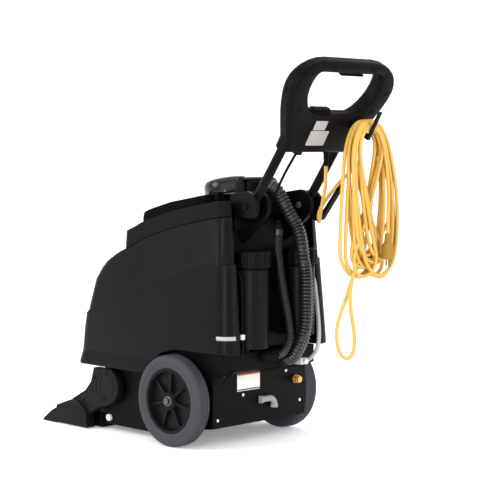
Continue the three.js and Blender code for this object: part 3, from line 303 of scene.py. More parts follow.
def grain_group():
    """Two noises on the object's own place: a fine one for the moulded grain, a broad one for handling."""
    group, given, result = node_group(
        "moulded_grain",
        {
            "Colour": (0.02, 0.02, 0.02, 1), "Roughness": 0.5, "Grain Scale": 900.0, "Grain Depth": 0.25,
            "Unevenness": 0.2,
        },
        {"Colour": "NodeSocketColor", "Roughness": "NodeSocketFloat", "Normal": "NodeSocketVector"},
    )
    place = add_node(group, "ShaderNodeTexCoord")
    fine = add_node(group, "ShaderNodeTexNoise", Detail=3.0)
    broad = add_node(group, "ShaderNodeTexNoise", Scale=7.0, Detail=4.0, Roughness=0.6)
    for noise in (fine, broad):
        group.links.new(place.outputs["Object"], noise.inputs["Vector"])
    group.links.new(given.outputs["Grain Scale"], fine.inputs["Scale"])
    bump = add_node(group, "ShaderNodeBump", Distance=0.0004)
    group.links.new(fine.outputs["Fac"], bump.inputs["Height"])
    group.links.new(given.outputs["Grain Depth"], bump.inputs["Strength"])
    group.links.new(bump.outputs["Normal"], result.inputs["Normal"])
    centred = add_node(group, "ShaderNodeMath", operation="SUBTRACT")
    centred.inputs[1].default_value = 0.5
    group.links.new(broad.outputs["Fac"], centred.inputs[0])
    swing = add_node(group, "ShaderNodeMath", operation="MULTIPLY")
    group.links.new(centred.outputs[0], swing.inputs[0])
    group.links.new(given.outputs["Unevenness"], swing.inputs[1])
    rough = add_node(group, "ShaderNodeMath", operation="ADD", use_clamp=True)
    group.links.new(given.outputs["Roughness"], rough.inputs[0])
    group.links.new(swing.outputs[0], rough.inputs[1])
    group.links.new(rough.outputs[0], result.inputs["Roughness"])
    gain = add_node(group, "ShaderNodeMath", operation="ADD")
    gain.inputs[1].default_value = 1.0
    group.links.new(swing.outputs[0], gain.inputs[0])
    shade = add_node(group, "ShaderNodeVectorMath", operation="SCALE")
    group.links.new(given.outputs["Colour"], shade.inputs[0])
    group.links.new(gain.outputs[0], shade.inputs["Scale"])
    group.links.new(shade.outputs[0], result.inputs["Colour"])
    return group


GRAIN = grain_group()


def grained(name, colour, roughness, scale=900.0, depth=0.25, unevenness=0.2, metallic=0.0, shine=0.07):
    """A material whose colour, roughness and normal come from the grain group."""
    material = bpy.data.materials.new(name)
    material.use_nodes = True
    tree = material.node_tree
    shader = tree.nodes["Principled BSDF"]
    grain = add_node(tree, "ShaderNodeGroup")
    grain.node_tree = GRAIN
    grain.inputs["Colour"].default_value = (*colour, 1)
    grain.inputs["Roughness"].default_value = roughness
    grain.inputs["Grain Scale"].default_value = scale
    grain.inputs["Grain Depth"].default_value = depth
    grain.inputs["Unevenness"].default_value = unevenness
    tree.links.new(grain.outputs["Colour"], shader.inputs["Base Color"])
    tree.links.new(grain.outputs["Roughness"], shader.inputs["Roughness"])
    tree.links.new(grain.outputs["Normal"], shader.inputs["Normal"])
    shader.inputs["Metallic"].default_value = metallic
    shader.inputs["Specular IOR Level"].default_value = 0.5 if metallic > 0.5 else shine
    return material


def place_piece(piece, material, body, slot, *nodes):
    """Link a finished piece, give it its material and say what it rides on and which nodes it stands for."""
    bpy.context.collection.objects.link(piece)
    piece.data.materials.clear()
    piece.data.materials.append(material)
    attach(piece, body)
    if nodes:
        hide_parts(*nodes)
    return piece


def moulded(node, material, body, slot, edge=0.0012, crease=30.0):
    """A CAD node's faces joined at their shared corners, flat ones made whole again, in place of the node.
    Each corner sharper than the crease is rounded by the edge width, and the rest is shaded smooth."""
    mesh = bpy.data.meshes.new(node + "_moulding")
    work = bmesh.new()
    work.from_mesh(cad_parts[node].data)
    bmesh.ops.remove_doubles(work, verts=work.verts, dist=1e-5)
    bmesh.ops.dissolve_limit(work, angle_limit=math.radians(0.5), verts=work.verts, edges=work.edges)
    work.to_mesh(mesh)
    work.free()
    mesh.polygons.foreach_set("use_smooth", [True] * len(mesh.polygons))
    mesh.set_sharp_from_angle(angle=math.radians(crease))
    piece = bpy.data.objects.new(node + "_moulding", mesh)
    if edge:
        bevel = piece.modifiers.new("rounded_edges", "BEVEL")
        bevel.width = edge
        bevel.segments = 2
        bevel.limit_method = "ANGLE"
        bevel.angle_limit = math.radians(crease)
        bevel.use_clamp_overlap = False
        bevel.harden_normals = True
    return place_piece(piece, material, body, slot, node)


plug_moulding = grained("plug_moulding", (0.30, 0.17, 0.03), 0.45, scale=1500)
plug = moulded("cord_plug", plug_moulding, "handle", "satin_black")
cord_jacket = grained("yellow_cord_jacket", (0.60, 0.345, 0.060), 0.40, scale=1500, depth=0.12,
                      unevenness=0.25, shine=0.45)
cord = cord_curve("mains_cord", fine_route, CORD_DIAMETER / 2)
place_piece(cord, cord_jacket, "handle", "cord_yellow", "cord_lead", "cord_hank", "cord_drop")

# ---------------------------------------------------------------- solution tank
# The body of the machine: one rotationally moulded polyethylene shell that holds the cleaning
# solution, with a step along its belt, arches over the wheels and two filler columns behind.
tank_skin = grained("rotomoulded_black", (0.0044, 0.0042, 0.0050), 0.33, scale=1300, depth=0.22,
                    unevenness=0.28)
moulded("solution_tank", tank_skin, "chassis", "tank_black", 0.0034)

# ---------------------------------------------------------------- recovery tank, lid and dome
# The dirty-water tank sits in the solution tank with a raised band round the top. Its lid carries
# a rubber ring and a smoke-tinted clear dome that lifts off, held by a small black latch.
band_skin = grained("recovery_tank_black", (0.0034, 0.0034, 0.0036), 0.6, scale=1300, depth=0.2,
                    unevenness=0.25)
lid_skin = grained("lid_black", (0.0026, 0.0026, 0.0028), 0.7, scale=1000, depth=0.2, shine=0.03)
soft_black = grained("black_rubber", (0.0026, 0.0026, 0.0026), 0.6, scale=1700, depth=0.15)
moulded("recovery_tank", band_skin, "chassis", "tank_black", 0.003)
moulded("recovery_lid", lid_skin, "chassis", "satin_black", 0.0024)
moulded("dome_gasket", soft_black, "chassis", "satin_black", 0.0)
moulded("lid_latch", soft_black, "lid_latch", "satin_black", 0.0008)


def clear_material(name, colour, roughness, ior):
    """Clear plastic: the tint is on the shader's own sockets and a slow noise only wears the gloss."""
    material = bpy.data.materials.new(name)
    material.use_nodes = True
    tree = material.node_tree
    shader = tree.nodes["Principled BSDF"]
    shader.inputs["Base Color"].default_value = (*colour, 1)
    shader.inputs["Transmission Weight"].default_value = 1.0
    shader.inputs["IOR"].default_value = ior
    place = add_node(tree, "ShaderNodeTexCoord")
    haze = add_node(tree, "ShaderNodeTexNoise", Scale=9.0, Detail=2.0)
    spread = add_node(tree, "ShaderNodeMapRange", To_Min=roughness, To_Max=roughness + 0.05)
    tree.links.new(place.outputs["Object"], haze.inputs["Vector"])
    tree.links.new(haze.outputs["Fac"], spread.inputs["Value"])
    tree.links.new(spread.outputs["Result"], shader.inputs["Roughness"])
    return material


smoke_acrylic = clear_material("smoke_acrylic", (0.10, 0.10, 0.10), 0.06, 1.35)
moulded("clear_dome", smoke_acrylic, "dome", "smoke_clear", edge=0.0, crease=40.0)

# ---------------------------------------------------------------- vacuum motor
# A by-pass vacuum motor stands in its own well with a two-stage fan on top, under a moulded cover
# whose port takes the vacuum hose.
drawn_steel = grained("drawn_steel", (0.46, 0.46, 0.47), 0.32, scale=600, depth=0.1, unevenness=0.15,
                      metallic=1.0)
moulded("vacuum_motor", drawn_steel, "chassis", "steel", 0.001)
moulded("vacuum_fan", drawn_steel, "vacuum_fan", "steel", 0.0006)
moulded("vacuum_cover", tank_skin, "chassis", "tank_black", 0.002)

# ---------------------------------------------------------------- filler caps
# Two ribbed polypropylene screw caps close the filler necks.
cap_skin = grained("cap_black", (0.0028, 0.0028, 0.0030), 0.35, scale=1500, depth=0.15)
moulded("tank_cap_left", cap_skin, "cap_left", "tank_black", 0.0012)
moulded("tank_cap_right", cap_skin, "cap_right", "tank_black", 0.0012)

# ---------------------------------------------------------------- base
# A box of black sheet that carries the motor, the pump and the axle, closed behind by a stepped
# cover, with a nylon glide bush on each side.
pale_nylon = grained("pale_nylon", (0.62, 0.62, 0.60), 0.42, scale=1500, depth=0.1, unevenness=0.1)
base_paint = grained("base_satin_black", (0.0014, 0.0014, 0.0015), 0.5, scale=800, depth=0.2)
moulded("base_tub", base_paint, "chassis", "satin_black", 0.0012)
moulded("brush_motor", drawn_steel, "chassis", "steel", 0.001)
moulded("solution_pump", soft_black, "chassis", "satin_black", 0.001)
for side in ("left", "right"):
    moulded("glide_bush_" + side, pale_nylon, "chassis", "pale_plastic", 0.0006)

# ---------------------------------------------------------------- wheels
# Ten-inch wheels: a grey non-marking tyre with a ribbed tread on a black moulded rim with seven
# ribs, held on a plain steel axle by a pressed clip.
tyre_rubber = grained("grey_tyre_rubber", (0.048, 0.046, 0.055), 0.55, scale=1100, depth=0.3, unevenness=0.3)
rim_skin = grained("rim_black", (0.0055, 0.0055, 0.0058), 0.4, scale=1300, depth=0.18)
dark_steel = grained("oiled_steel", (0.10, 0.10, 0.10), 0.3, scale=700, depth=0.1, unevenness=0.5,
                     metallic=1.0)


def grid_faces(rows, columns, closed=False):
    """The four-cornered faces between neighbours on a grid of points: each row runs round to its start, and
    where closed the last row is joined to the first."""
    i, j = np.meshgrid(np.arange(rows if closed else rows - 1), np.arange(columns), indexing="ij")
    here, ahead = i * columns, (i + 1) % rows * columns
    beside = (j + 1) % columns
    return np.stack([here + j, here + beside, ahead + beside, ahead + j], -1).reshape(-1, 4).tolist()


def smooth_piece(name, points, faces, crease, turned=False):
    """An object of these points and faces, smooth up to the crease; a turned one has its poles closed and its
    faces pointed outwards."""
    mesh = bpy.data.meshes.new(name)
    mesh.from_pydata(points.reshape(-1, 3).tolist(), [], faces)
    if turned:
        work = bmesh.new()
        work.from_mesh(mesh)
        bmesh.ops.remove_doubles(work, verts=work.verts, dist=1e-6)
        bmesh.ops.recalc_face_normals(work, faces=work.faces)
        work.to_mesh(mesh)
        work.free()
    mesh.polygons.foreach_set("use_smooth", [True] * len(mesh.polygons))
    mesh.set_sharp_from_angle(angle=math.radians(crease))
    return bpy.data.objects.new(name, mesh)


def turned_skin(name, profile, centre, steps, ripple, ripples):
    """A closed profile of (reach along x, radius, mark) turned about x through the centre; a point's radius
    dips by its mark times the ripple's depth, as a rounded square wave of the angle."""
    angle = np.linspace(0, 2 * math.pi, steps, endpoint=False)
    x, radius, marked = (profile[:, k] for k in range(3))
    wave = np.clip(3 * np.cos(ripples * angle), -1, 1)[:, None]
    r = radius[None] - ripple * marked[None] * (0.5 + 0.5 * wave)
    round_x = np.repeat(x[None], steps, 0)
    points = np.stack([round_x, r * np.cos(angle)[:, None], r * np.sin(angle)[:, None]], -1) + centre
    return smooth_piece(name, points, grid_faces(steps, len(profile), closed=True), 38, turned=True)


# Millimetres of reach from the tyre's middle and of radius, and how far the tread's grooves reach that point.
TREAD_GROOVES = 72
GROOVE_DEPTH = 0.0010
TYRE_STEPS = 4 * TREAD_GROOVES
tyre_half = np.array([
    [19.5, 90.4, 0], [22.5, 94, 0], [24.2, 101, 0], [24.5, 103.5, 0], [23.7, 104.3, 0],
    [24.5, 105.1, 0], [24.2, 113, 0], [22.8, 118.5, 0], [20.5, 122.5, 0], [17.6, 125.2, 0.6],
    [14.0, 126.6, 1], [10.4, 127.0, 1], [9.8, 125.2, 0.3], [8.6, 125.2, 0.3], [8.0, 127.0, 1],
    [1.2, 127.0, 1], [0.7, 125.4, 0.3],
]) * [0.001, 0.001, 1]
tyre_profile = np.concatenate([tyre_half, tyre_half[::-1] * [-1, 1, 1]])
for side in ("left", "right"):
    low, high = (np.array(corner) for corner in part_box("tyre_" + side))
    middle = (low + high) / 2
    tyre = turned_skin("ribbed_tyre_" + side, tyre_profile, middle, TYRE_STEPS, GROOVE_DEPTH, TREAD_GROOVES)
    place_piece(tyre, tyre_rubber, "wheel_" + side, "grey_rubber", "tyre_" + side)
    moulded("wheel_rim_" + side, rim_skin, "wheel_" + side, "tank_black", 0.0012)
    moulded("axle_clip_" + side, dark_steel, "wheel_" + side, "steel", 0.0008)
moulded("axle", dark_steel, "chassis", "steel", 0.001)

# ---------------------------------------------------------------- brush head
# Two moulded arms swing about the motor shaft and carry the hood, a cylindrical nylon brush driven
# by a belt, a brass spray bar and the powder-coated cast vacuum shoe in front.
arm_skin = grained("arm_black", (0.0058, 0.0058, 0.0062), 0.38, scale=1200, depth=0.2)
shoe_coat = grained("powder_coated_casting", (0.0055, 0.0055, 0.0058), 0.34, scale=420, depth=0.35,
                    unevenness=0.25)
brass = grained("turned_brass", (0.62, 0.40, 0.13), 0.28, scale=900, depth=0.06, unevenness=0.2, metallic=1.0)
moulded("vacuum_shoe", shoe_coat, "brush_head", "cast_black", 0.0012)
moulded("brush_hood", base_paint, "brush_head", "satin_black", 0.0012)
moulded("spray_bar", brass, "brush_head", "brass", 0.0006)
moulded("brush_core", soft_black, "brush", "satin_black", 0.001)
moulded("brush_pulley", drawn_steel, "brush", "steel", 0.0004)
moulded("motor_pulley", drawn_steel, "motor_pulley", "steel", 0.0004)
moulded("drive_belt", soft_black, "brush_head", "satin_black", 0.0)
for side in ("left", "right"):
    moulded("head_arm_" + side, arm_skin, "brush_head", "tank_black", 0.0018)


def bristle_tufts(centre, half_length, inner, outer, rows, around):
    """Tufts in rows round the core, each row a little further on so that they wind in a spiral. A tuft is
    four corners at the core, four wider ones near the tip and four at the tip, closed over."""
    row, number = np.meshgrid(np.arange(rows), np.arange(around), indexing="ij")
    x = -half_length + 2 * half_length * (row + 0.5) / rows
    turn = 2 * math.pi * (number + 0.5 * (row % 2) + 0.12 * row) / around
    corner = np.arange(4) * math.pi / 2 + math.pi / 4
    spread = np.stack([np.cos(corner), np.sin(corner)], -1)
    out = np.stack([np.zeros_like(turn), np.cos(turn), np.sin(turn)], -1)
    across = np.stack([np.zeros_like(turn), -np.sin(turn), np.cos(turn)], -1)
    rings = []
    # a tuft's distance out and its half width at the foot, near the tip and at the tip
    for radius, size in ((inner, 0.0028), (outer - 0.001, 0.0042), (outer, 0.0036)):
        ring = radius * out[..., None, :] + size * spread[:, 1][:, None] * across[..., None, :]
        ring = ring + (x[..., None] + size * spread[:, 0])[..., None] * np.array([1.0, 0, 0])
        rings.append(ring)
    points = np.stack(rings, 2).reshape(-1, 3) + centre
    side = [[k, (k + 1) % 4, 4 + (k + 1) % 4, 4 + k] for k in range(4)]
    upper = (np.array(side) + 4).tolist()
    shape = np.array([[3, 2, 1, 0]] + side + upper + [[8, 9, 10, 11]])
    faces = (np.arange(rows * around)[:, None, None] * 12 + shape[None]).reshape(-1, 4)
    mesh = bpy.data.meshes.new("brush_tufts")
    mesh.from_pydata(points.tolist(), [], faces.tolist())
    return bpy.data.objects.new("brush_tufts", mesh)


TUFT_ROWS = 46
TUFTS_AROUND = 22
TUFT_FOOT_RADIUS = 0.0179
BARE_END = 0.004
low, high = (np.array(corner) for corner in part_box("brush_bristles"))
reach, tip_radius = (high[0] - low[0]) / 2 - BARE_END, (high[2] - low[2]) / 2
tufts = bristle_tufts((low + high) / 2, reach, TUFT_FOOT_RADIUS, tip_radius, TUFT_ROWS, TUFTS_AROUND)
bristle_nylon = grained("grey_bristle_nylon", (0.22, 0.22, 0.23), 0.5, scale=1800, depth=0.3)
place_piece(tufts, bristle_nylon, "brush", "grey_bristle", "brush_bristles")

# ---------------------------------------------------------------- hoses, level tube and cable
# The vacuum hose and the drain hose are black corrugated plastic. A clear level tube, a thin sensor
# cable and a brass quick coupler for the wand share the channel behind the tank.
hose_skin = grained("black_hose", (0.0090, 0.0086, 0.0094), 0.28, scale=1500, depth=0.08, unevenness=0.3,
                    shine=0.5)


def even_route(points, step):
    """Points a step apart along the smooth route through the given ones, and their distances along it."""
    fine = smooth_route(points, 24)
    run = np.concatenate([[0], np.cumsum(np.linalg.norm(np.diff(fine, axis=0), axis=1))])
    count = max(2, int(round(run[-1] / step)))
    at = np.linspace(0, run[-1], count + 1)
    return np.stack([np.interp(at, run, fine[:, k]) for k in range(3)], 1), at


def swept_skin(name, route, radius, sides=24):
    """A round skin along a route: each station is a circle of its own radius, or of the one given, in a frame
    carried along without twist, and a flat face closes each end."""
    ahead = np.gradient(route, axis=0)
    ahead /= np.linalg.norm(ahead, axis=1)[:, None]
    across = np.zeros_like(ahead)
    start = np.cross(ahead[0], [1.0, 0.0, 0.0])
    if np.linalg.norm(start) < 0.3:
        start = np.cross(ahead[0], [0.0, 0.0, 1.0])
    across[0] = start / np.linalg.norm(start)
    for k in range(1, len(route)):
        carried = across[k - 1] - ahead[k] * (across[k - 1] @ ahead[k])
        across[k] = carried / np.linalg.norm(carried)
    up = np.cross(ahead, across)
    angle = np.linspace(0, 2 * math.pi, sides, endpoint=False)
    circle = across[:, None] * np.cos(angle)[None, :, None] + up[:, None] * np.sin(angle)[None, :, None]
    points = route[:, None] + circle * np.broadcast_to(radius, len(route))[:, None, None]
    last = (len(route) - 1) * sides
    ends = [list(range(sides))[::-1], list(range(last, last + sides))]
    return smooth_piece(name, points, grid_faces(len(route), sides) + ends, 70)


def corrugated_hose(name, points, radius, pitch, depth, cuffs, sides=28):
    """A hose whose radius dips by the depth once every pitch, plain along a cuff at each end."""
    route, at = even_route(points, pitch / 6)
    dip = depth * (0.5 - 0.5 * np.cos(2 * math.pi * at / pitch)) ** 1.6
    plain = (at < cuffs[0]) | (at > at[-1] - cuffs[1])
    return swept_skin(name, route, np.where(plain, radius, radius - dip), sides)


vacuum_route = np.array([
    [-0.003, 0.1583, 0.712], [-0.003, 0.166, 0.712], [-0.006, 0.180, 0.704], [-0.010, 0.194, 0.684],
    [-0.014, 0.206, 0.662], [-0.024, 0.219, 0.632], [-0.036, 0.230, 0.602], [-0.038, 0.241, 0.570],
    [-0.038, 0.247, 0.540], [-0.042, 0.248, 0.511], [-0.052, 0.246, 0.480], [-0.058, 0.244, 0.400],
    [-0.058, 0.241, 0.330], [-0.054, 0.233, 0.290], [-0.050, 0.219, 0.262], [-0.052, 0.203, 0.244],
    [-0.054, 0.186, 0.235], [-0.054, 0.173, 0.233], [-0.054, 0.1603, 0.233],
]) + UNDER_AXLE
VACUUM_HOSE_RADIUS = 0.019
vacuum_hose = corrugated_hose("vacuum_hose_skin", vacuum_route, VACUUM_HOSE_RADIUS, pitch=0.0098, depth=0.0036,
                              cuffs=(0.016, 0.020))
place_piece(vacuum_hose, hose_skin, "chassis", "hose_black", "vacuum_hose")

drain_route = np.array([
    [0.011, 0.203, 0.598], [0.011, 0.203, 0.588], [0.014, 0.202, 0.560], [0.005, 0.205, 0.485],
    [-0.008, 0.209, 0.412], [-0.022, 0.213, 0.340], [-0.026, 0.213, 0.300], [-0.018, 0.210, 0.274],
    [-0.004, 0.203, 0.256], [0.010, 0.189, 0.249],
]) + UNDER_AXLE
DRAIN_HOSE_RADIUS = 0.0125
drain_hose = corrugated_hose("drain_hose_skin", drain_route, DRAIN_HOSE_RADIUS, pitch=0.0052, depth=0.0024,
                             cuffs=(0.018, 0.010), sides=24)
place_piece(drain_hose, hose_skin, "chassis", "hose_black", "drain_hose")
cuff_route = np.array([
    [0.002, 0.196, 0.250], [0.010, 0.189, 0.249], [0.018, 0.181, 0.249], [0.026, 0.171, 0.249],
    [0.026, 0.1603, 0.249],
]) + UNDER_AXLE
cuff = swept_skin("drain_hose_cuff", even_route(cuff_route, 0.002)[0], 0.016)
place_piece(cuff, soft_black, "chassis", "hose_black")
moulded("drain_plug", soft_black, "drain_plug", "satin_black", 0.001)

level_route = np.array([
    [-0.146, 0.1403, 0.470], [-0.146, 0.168, 0.469], [-0.145, 0.189, 0.455], [-0.143, 0.202, 0.410],
    [-0.139, 0.212, 0.365], [-0.138, 0.218, 0.318], [-0.138, 0.218, 0.282], [-0.138, 0.211, 0.254],
    [-0.134, 0.196, 0.233], [-0.126, 0.184, 0.223], [-0.1163, 0.184, 0.223],
]) + UNDER_AXLE
level_tube = swept_skin("level_tube_skin", even_route(level_route, 0.004)[0], 0.006, 20)
clear_vinyl = grained("clear_vinyl_tube", (0.40, 0.40, 0.40), 0.22, scale=300, depth=0.1, unevenness=0.25)
place_piece(level_tube, clear_vinyl, "chassis", "clear_tube", "level_tube")
moulded("level_fitting", pale_nylon, "chassis", "pale_plastic", 0.0008)
cable_route = np.array([
    [0.141, 0.1403, 0.492], [0.141, 0.166, 0.490], [0.141, 0.186, 0.480], [0.141, 0.195, 0.455],
    [0.141, 0.196, 0.400], [0.141, 0.196, 0.320], [0.141, 0.197, 0.275], [0.138, 0.190, 0.250],
    [0.141, 0.176, 0.226], [0.150, 0.158, 0.205], [0.160, 0.146, 0.186], [0.164, 0.137, 0.174],
]) + UNDER_AXLE
sensor_cable = swept_skin("sensor_cable_skin", even_route(cable_route, 0.004)[0], 0.003, 14)
place_piece(sensor_cable, soft_black, "chassis", "satin_black", "sensor_cable")
moulded("quick_coupler", brass, "chassis", "brass", 0.0006)

# ---------------------------------------------------------------- handle
# Steel side tubes pivot in two cast brackets. The handle head is two moulded shells screwed
# together, with two rocker switches, a spray lever, a strain relief and a pair of cord hooks.
frame_paint = grained("frame_powder_black", (0.0026, 0.0026, 0.0028), 0.36, scale=700, depth=0.25)
shell_skin = grained("handle_shell_black", (0.0030, 0.0030, 0.0032), 0.44, scale=1500, depth=0.2,
                     unevenness=0.3, shine=0.05)
for side in ("left", "right"):
    moulded("handle_bracket_" + side, frame_paint, "chassis", "frame_black", 0.0018)
    moulded("pivot_bolt_" + side, drawn_steel if side == "right" else frame_paint, "chassis", "steel", 0.0006)
    moulded("handle_tube_" + side, frame_paint, "handle", "frame_black", 0.0006)
moulded("grip_front_shell", shell_skin, "handle", "tank_black", 0.0008, 35.0)
moulded("grip_rear_shell", shell_skin, "handle", "tank_black", 0.0008, 35.0)
moulded("switch_bezel", soft_black, "handle", "satin_black", 0.0008)
moulded("brush_switch", soft_black, "brush_switch", "satin_black", 0.0008)
moulded("vacuum_switch", soft_black, "vacuum_switch", "satin_black", 0.0008)
moulded("spray_lever", soft_black, "spray_lever", "satin_black", 0.0015)
moulded("switch_conduit", soft_black, "handle", "satin_black", 0.001)
moulded("upper_cord_hook", frame_paint, "handle", "frame_black", 0.0012)
moulded("lower_cord_hook", frame_paint, "handle", "frame_black", 0.0012)

# ---------------------------------------------------------------- small fittings
# What is screwed, stuck or clipped on: a ribbed rubber sleeve on the cord's exit, blank labels, screw wells
# whose dark colour is painted shade, and screws, the raised rims of the arms' bearing covers, a grey outlet
# elbow, a thin pale silver strip on the tank's rear corner and a white cable clip.
def turned_fitting(name, profile, origin, direction, steps=24):
    """An open profile of (radius, height) from pole to pole, turned about a direction through the origin."""
    along = np.array(direction, float) / np.linalg.norm(direction)
    across = np.cross(along, [0.0, 0.0, 1.0] if abs(along[2]) < 0.9 else [1.0, 0.0, 0.0])
    across /= np.linalg.norm(across)
    up = np.cross(along, across)
    angle = np.linspace(0, 2 * math.pi, steps, endpoint=False)
    round_ = across * np.cos(angle)[:, None] + up * np.sin(angle)[:, None]
    profile = np.array(profile, float)
    rings = profile[:, 0][:, None, None] * round_[None] + (profile[:, 1][:, None] * along)[:, None, :]
    points = rings + np.array(origin)
    return smooth_piece(name, points, grid_faces(len(profile), steps), 40, turned=True)


def label_plate(name, middle, right, up, width, height, corner, thickness=0.0005):
    """A thin plate with round corners: the outline is a rectangle whose corners are quarter circles."""
    right, up = (np.array(v, float) / np.linalg.norm(v) for v in (right, up))
    out = np.cross(right, up)
    count = 24
    angle = np.linspace(0, 2 * math.pi, count, endpoint=False)
    u = np.sign(np.cos(angle)) * (width / 2 - corner) + corner * np.cos(angle)
    v = np.sign(np.sin(angle + 1e-9)) * (height / 2 - corner) + corner * np.sin(angle)  # never on a zero
    flat = np.array(middle) + u[:, None] * right + v[:, None] * up
    points = np.concatenate([flat, flat + thickness * out])
    ring = np.arange(count)
    walls = np.stack([ring, (ring + 1) % count, count + (ring + 1) % count, count + ring], 1).tolist()
    mesh = bpy.data.meshes.new(name)
    mesh.from_pydata(points.tolist(), [], walls + [ring[::-1].tolist(), (ring + count).tolist()])
    return bpy.data.objects.new(name, mesh)


RELIEF_LENGTH = 0.040
RELIEF_PITCH = 0.0057
relief_height = np.linspace(0, RELIEF_LENGTH, 41)
relief_ribs = 0.0014 * (np.sin(relief_height * 2 * math.pi / RELIEF_PITCH) > -0.2)
relief_radius = 0.0056 + 0.0012 * relief_height / RELIEF_LENGTH + relief_ribs
relief_profile = np.concatenate([
    [[0, 0]],
    np.stack([relief_radius, relief_height], 1),
    [[0.011, RELIEF_LENGTH], [0.011, 0.044], [0, 0.045]],
])
relief_foot = np.array([-0.052, 0.3206, 0.7692]) + UNDER_AXLE
relief = turned_fitting("ribbed_strain_relief", relief_profile, relief_foot, (0, 0, 1))
place_piece(relief, soft_black, "handle", "satin_black", "strain_relief")

HEAD_LEAN = math.radians(31)
head_foot = np.array([0.0, 0.30963, 0.80885]) + UNDER_AXLE
head_out = np.array([0.0, math.cos(HEAD_LEAN), -math.sin(HEAD_LEAN)])
head_up = np.array([0.0, math.sin(HEAD_LEAN), math.cos(HEAD_LEAN)])


def on_head(u, v, out=0.028):
    """A point on the rear face of the handle head, across and up from the middle of its foot."""
    return head_foot + np.array([u, 0, 0]) + v * head_up + out * head_out


silver_film = grained("silver_label_film", (0.36, 0.36, 0.37), 0.35, scale=400, depth=0.05, unevenness=0.15,
                      metallic=0.2, shine=0.5)
white_film = grained("white_label_film", (0.68, 0.68, 0.66), 0.45, scale=400, depth=0.05, unevenness=0.1)
for name, place, width, height in (
    ("lower_head_label", (0.030, 0.057), 0.070, 0.044),
    ("upper_head_label", (0.038, 0.095), 0.046, 0.028),
):
    plate = label_plate(name, on_head(*place), (-1, 0, 0), head_up, width, height, 0.003)
    place_piece(plate, silver_film, "handle", "pale_plastic")

# The head's screw wells are flat dark discs with a low rim; their near-black colour is painted shade for the
# shadow down in each well.
well_shade_paint = grained("screw_well_shadow", (0.002, 0.002, 0.002), 0.7, scale=1500)
well_profile = [(0, 0.0002), (0.0050, 0.0002), (0.0056, 0.0007), (0.0074, 0.0007), (0.0080, -0.0005)]
well_places = [
    (0.166, 0.195), (0.140, 0.138), (0.112, 0.078), (0.075, 0.262),
    (-0.075, 0.262), (-0.166, 0.195), (-0.140, 0.138), (-0.112, 0.078),
]
for number, (u, v) in enumerate(well_places):
    well = turned_fitting(f"head_screw_well_{number}", well_profile, on_head(u, v), head_out, 20)
    place_piece(well, well_shade_paint, "handle", "tank_black")

bright_steel = grained("bright_steel", (0.62, 0.62, 0.62), 0.25, scale=700, depth=0.06, unevenness=0.1,
                       metallic=1.0)
screw_profile = [
    (0, 0.0012), (0.0012, 0.0012), (0.0016, 0.0020), (0.0034, 0.0019), (0.0046, 0.0010), (0.0048, -0.0008),
]
rear_face = UNDER_AXLE + [0, 0.125, 0]
cover_screw_places = [(0.141, 0.202), (-0.103, 0.190), (0.068, 0.140), (-0.160, 0.100), (0.165, 0.080)]
for number, (x, z) in enumerate(cover_screw_places):
    screw = turned_fitting(f"cover_screw_{number}", screw_profile, rear_face + [x, 0, z], (0, 1, 0), 16)
    place_piece(screw, bright_steel, "chassis", "steel")

ARM_FACE_X = 0.210
BEARING_PLACE = (-0.290, 0.134)
arm_screw_places = [(-0.347, 0.154), (-0.290, 0.172), (-0.300, 0.098), (-0.394, 0.082), (-0.429, 0.066)]
bearing_cover_profile = [
    (0, 0.0006), (0.0298, 0.0006), (0.030, -0.0006), (0.030, 0.0012), (0.033, 0.0012), (0.033, 0.0004),
    (0.045, 0.0004), (0.045, 0.0014), (0.049, 0.0014), (0.050, -0.0006),
]
for side, sign in (("left", 1.0), ("right", -1.0)):
    outward = (sign, 0, 0)
    for number, place in enumerate(arm_screw_places):
        screw_foot = UNDER_AXLE + [sign * ARM_FACE_X, *place]
        screw = turned_fitting(f"arm_screw_{side}_{number}", screw_profile, screw_foot, outward, 16)
        place_piece(screw, base_paint, "brush_head", "steel")
    cover_foot = UNDER_AXLE + [sign * ARM_FACE_X, *BEARING_PLACE]
    cover = turned_fitting(f"bearing_cover_{side}", bearing_cover_profile, cover_foot, outward, 48)
    place_piece(cover, arm_skin, "brush_head", "tank_black")

label_middle = rear_face + [0.047, 0.0003, 0.176]
base_label = label_plate("base_label", label_middle, (-1, 0, 0), (0, 0, 1), 0.088, 0.050, 0.002)
place_piece(base_label, white_film, "chassis", "pale_plastic")
orange_ink = grained("orange_label_band", (0.45, 0.12, 0.05), 0.45, scale=400, depth=0.05, unevenness=0.1)
green_ink = grained("green_label_band", (0.05, 0.16, 0.09), 0.45, scale=400, depth=0.05, unevenness=0.1)
for name, rise, height, ink in (
    ("base_label_top_band", 0.021, 0.006, orange_ink),
    ("base_label_low_band", -0.0215, 0.004, green_ink),
):
    band_middle = label_middle + [0, 0.0004, rise]
    band = label_plate(name, band_middle, (-1, 0, 0), (0, 0, 1), 0.086, height, 0.001)
    place_piece(band, ink, "chassis", "pale_plastic")

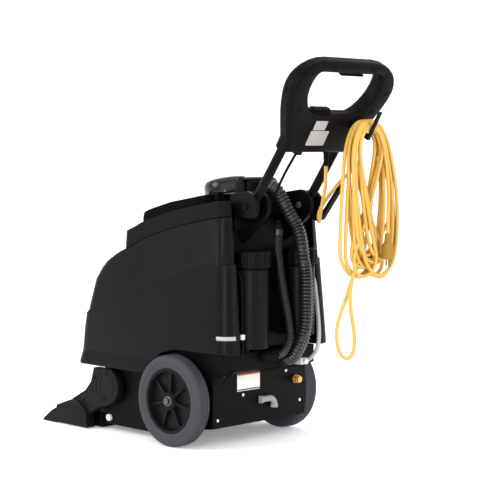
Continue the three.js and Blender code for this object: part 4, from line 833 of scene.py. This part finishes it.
ELBOW_CUFF = 0.010
elbow_route = np.array([
    [0.008, 0.1305, 0.120], [-0.016, 0.1330, 0.1205], [-0.036, 0.1345, 0.119], [-0.045, 0.1345, 0.108],
    [-0.045, 0.1345, 0.094],
]) + UNDER_AXLE
elbow_path, elbow_at = even_route(elbow_route, 0.002)
elbow_radius = 0.0085 + 0.0018 * ((elbow_at < ELBOW_CUFF) | (elbow_at > elbow_at[-1] - ELBOW_CUFF))
grey_nylon = grained("grey_nylon", (0.26, 0.26, 0.26), 0.42, scale=1400, depth=0.12, unevenness=0.15)
place_piece(swept_skin("outlet_elbow", elbow_path, elbow_radius), grey_nylon, "chassis", "pale_plastic")


def corner_strip(name, middle, radius, turns, low, high):
    """A thin strip that follows a round corner: points at one radius over a span of turns and two heights."""
    count = 17
    turn = np.radians(np.linspace(*turns, count))
    flat = np.stack([middle[0] + radius * np.cos(turn), middle[1] + radius * np.sin(turn)], 1)
    rows = [np.column_stack([flat, np.full(count, z)]) for z in (low, high)]
    faces = [(k, k + 1, count + k + 1, count + k) for k in range(count - 1)]
    mesh = bpy.data.meshes.new(name)
    mesh.from_pydata(np.concatenate(rows).tolist(), [], faces)
    mesh.polygons.foreach_set("use_smooth", [True] * len(faces))
    piece = bpy.data.objects.new(name, mesh)
    wall = piece.modifiers.new("strip_thickness", "SOLIDIFY")
    wall.thickness = 0.0006
    wall.offset = 1.0
    return piece


# A thin pale strip of silver film, 11 mm tall, round the tank's rear left corner about 0.31 m above the floor.
TANK_HALF_WIDTH = 0.211
TANK_REAR = 0.206
TANK_DRAFT = 0.0037  # how far the tank's wall leans in at the height of the strip
TANK_CORNER = 0.040
corner_inset = TANK_DRAFT + TANK_CORNER
corner_middle = UNDER_AXLE[:2] + [TANK_HALF_WIDTH - corner_inset, TANK_REAR - corner_inset]
strip = corner_strip("pale_corner_strip", corner_middle, TANK_CORNER + 0.0002, (2, 84), 0.306, 0.317)
place_piece(strip, silver_film, "chassis", "pale_plastic")
clip_profile = [(0, -0.007), (0.0062, -0.007), (0.0072, -0.006), (0.0072, 0.006), (0.0062, 0.007), (0, 0.007)]
clip = turned_fitting("cable_clip", clip_profile, UNDER_AXLE + [0.141, 0.196, 0.312], (0, 0, 1), 8)
place_piece(clip, pale_nylon, "chassis", "pale_plastic")
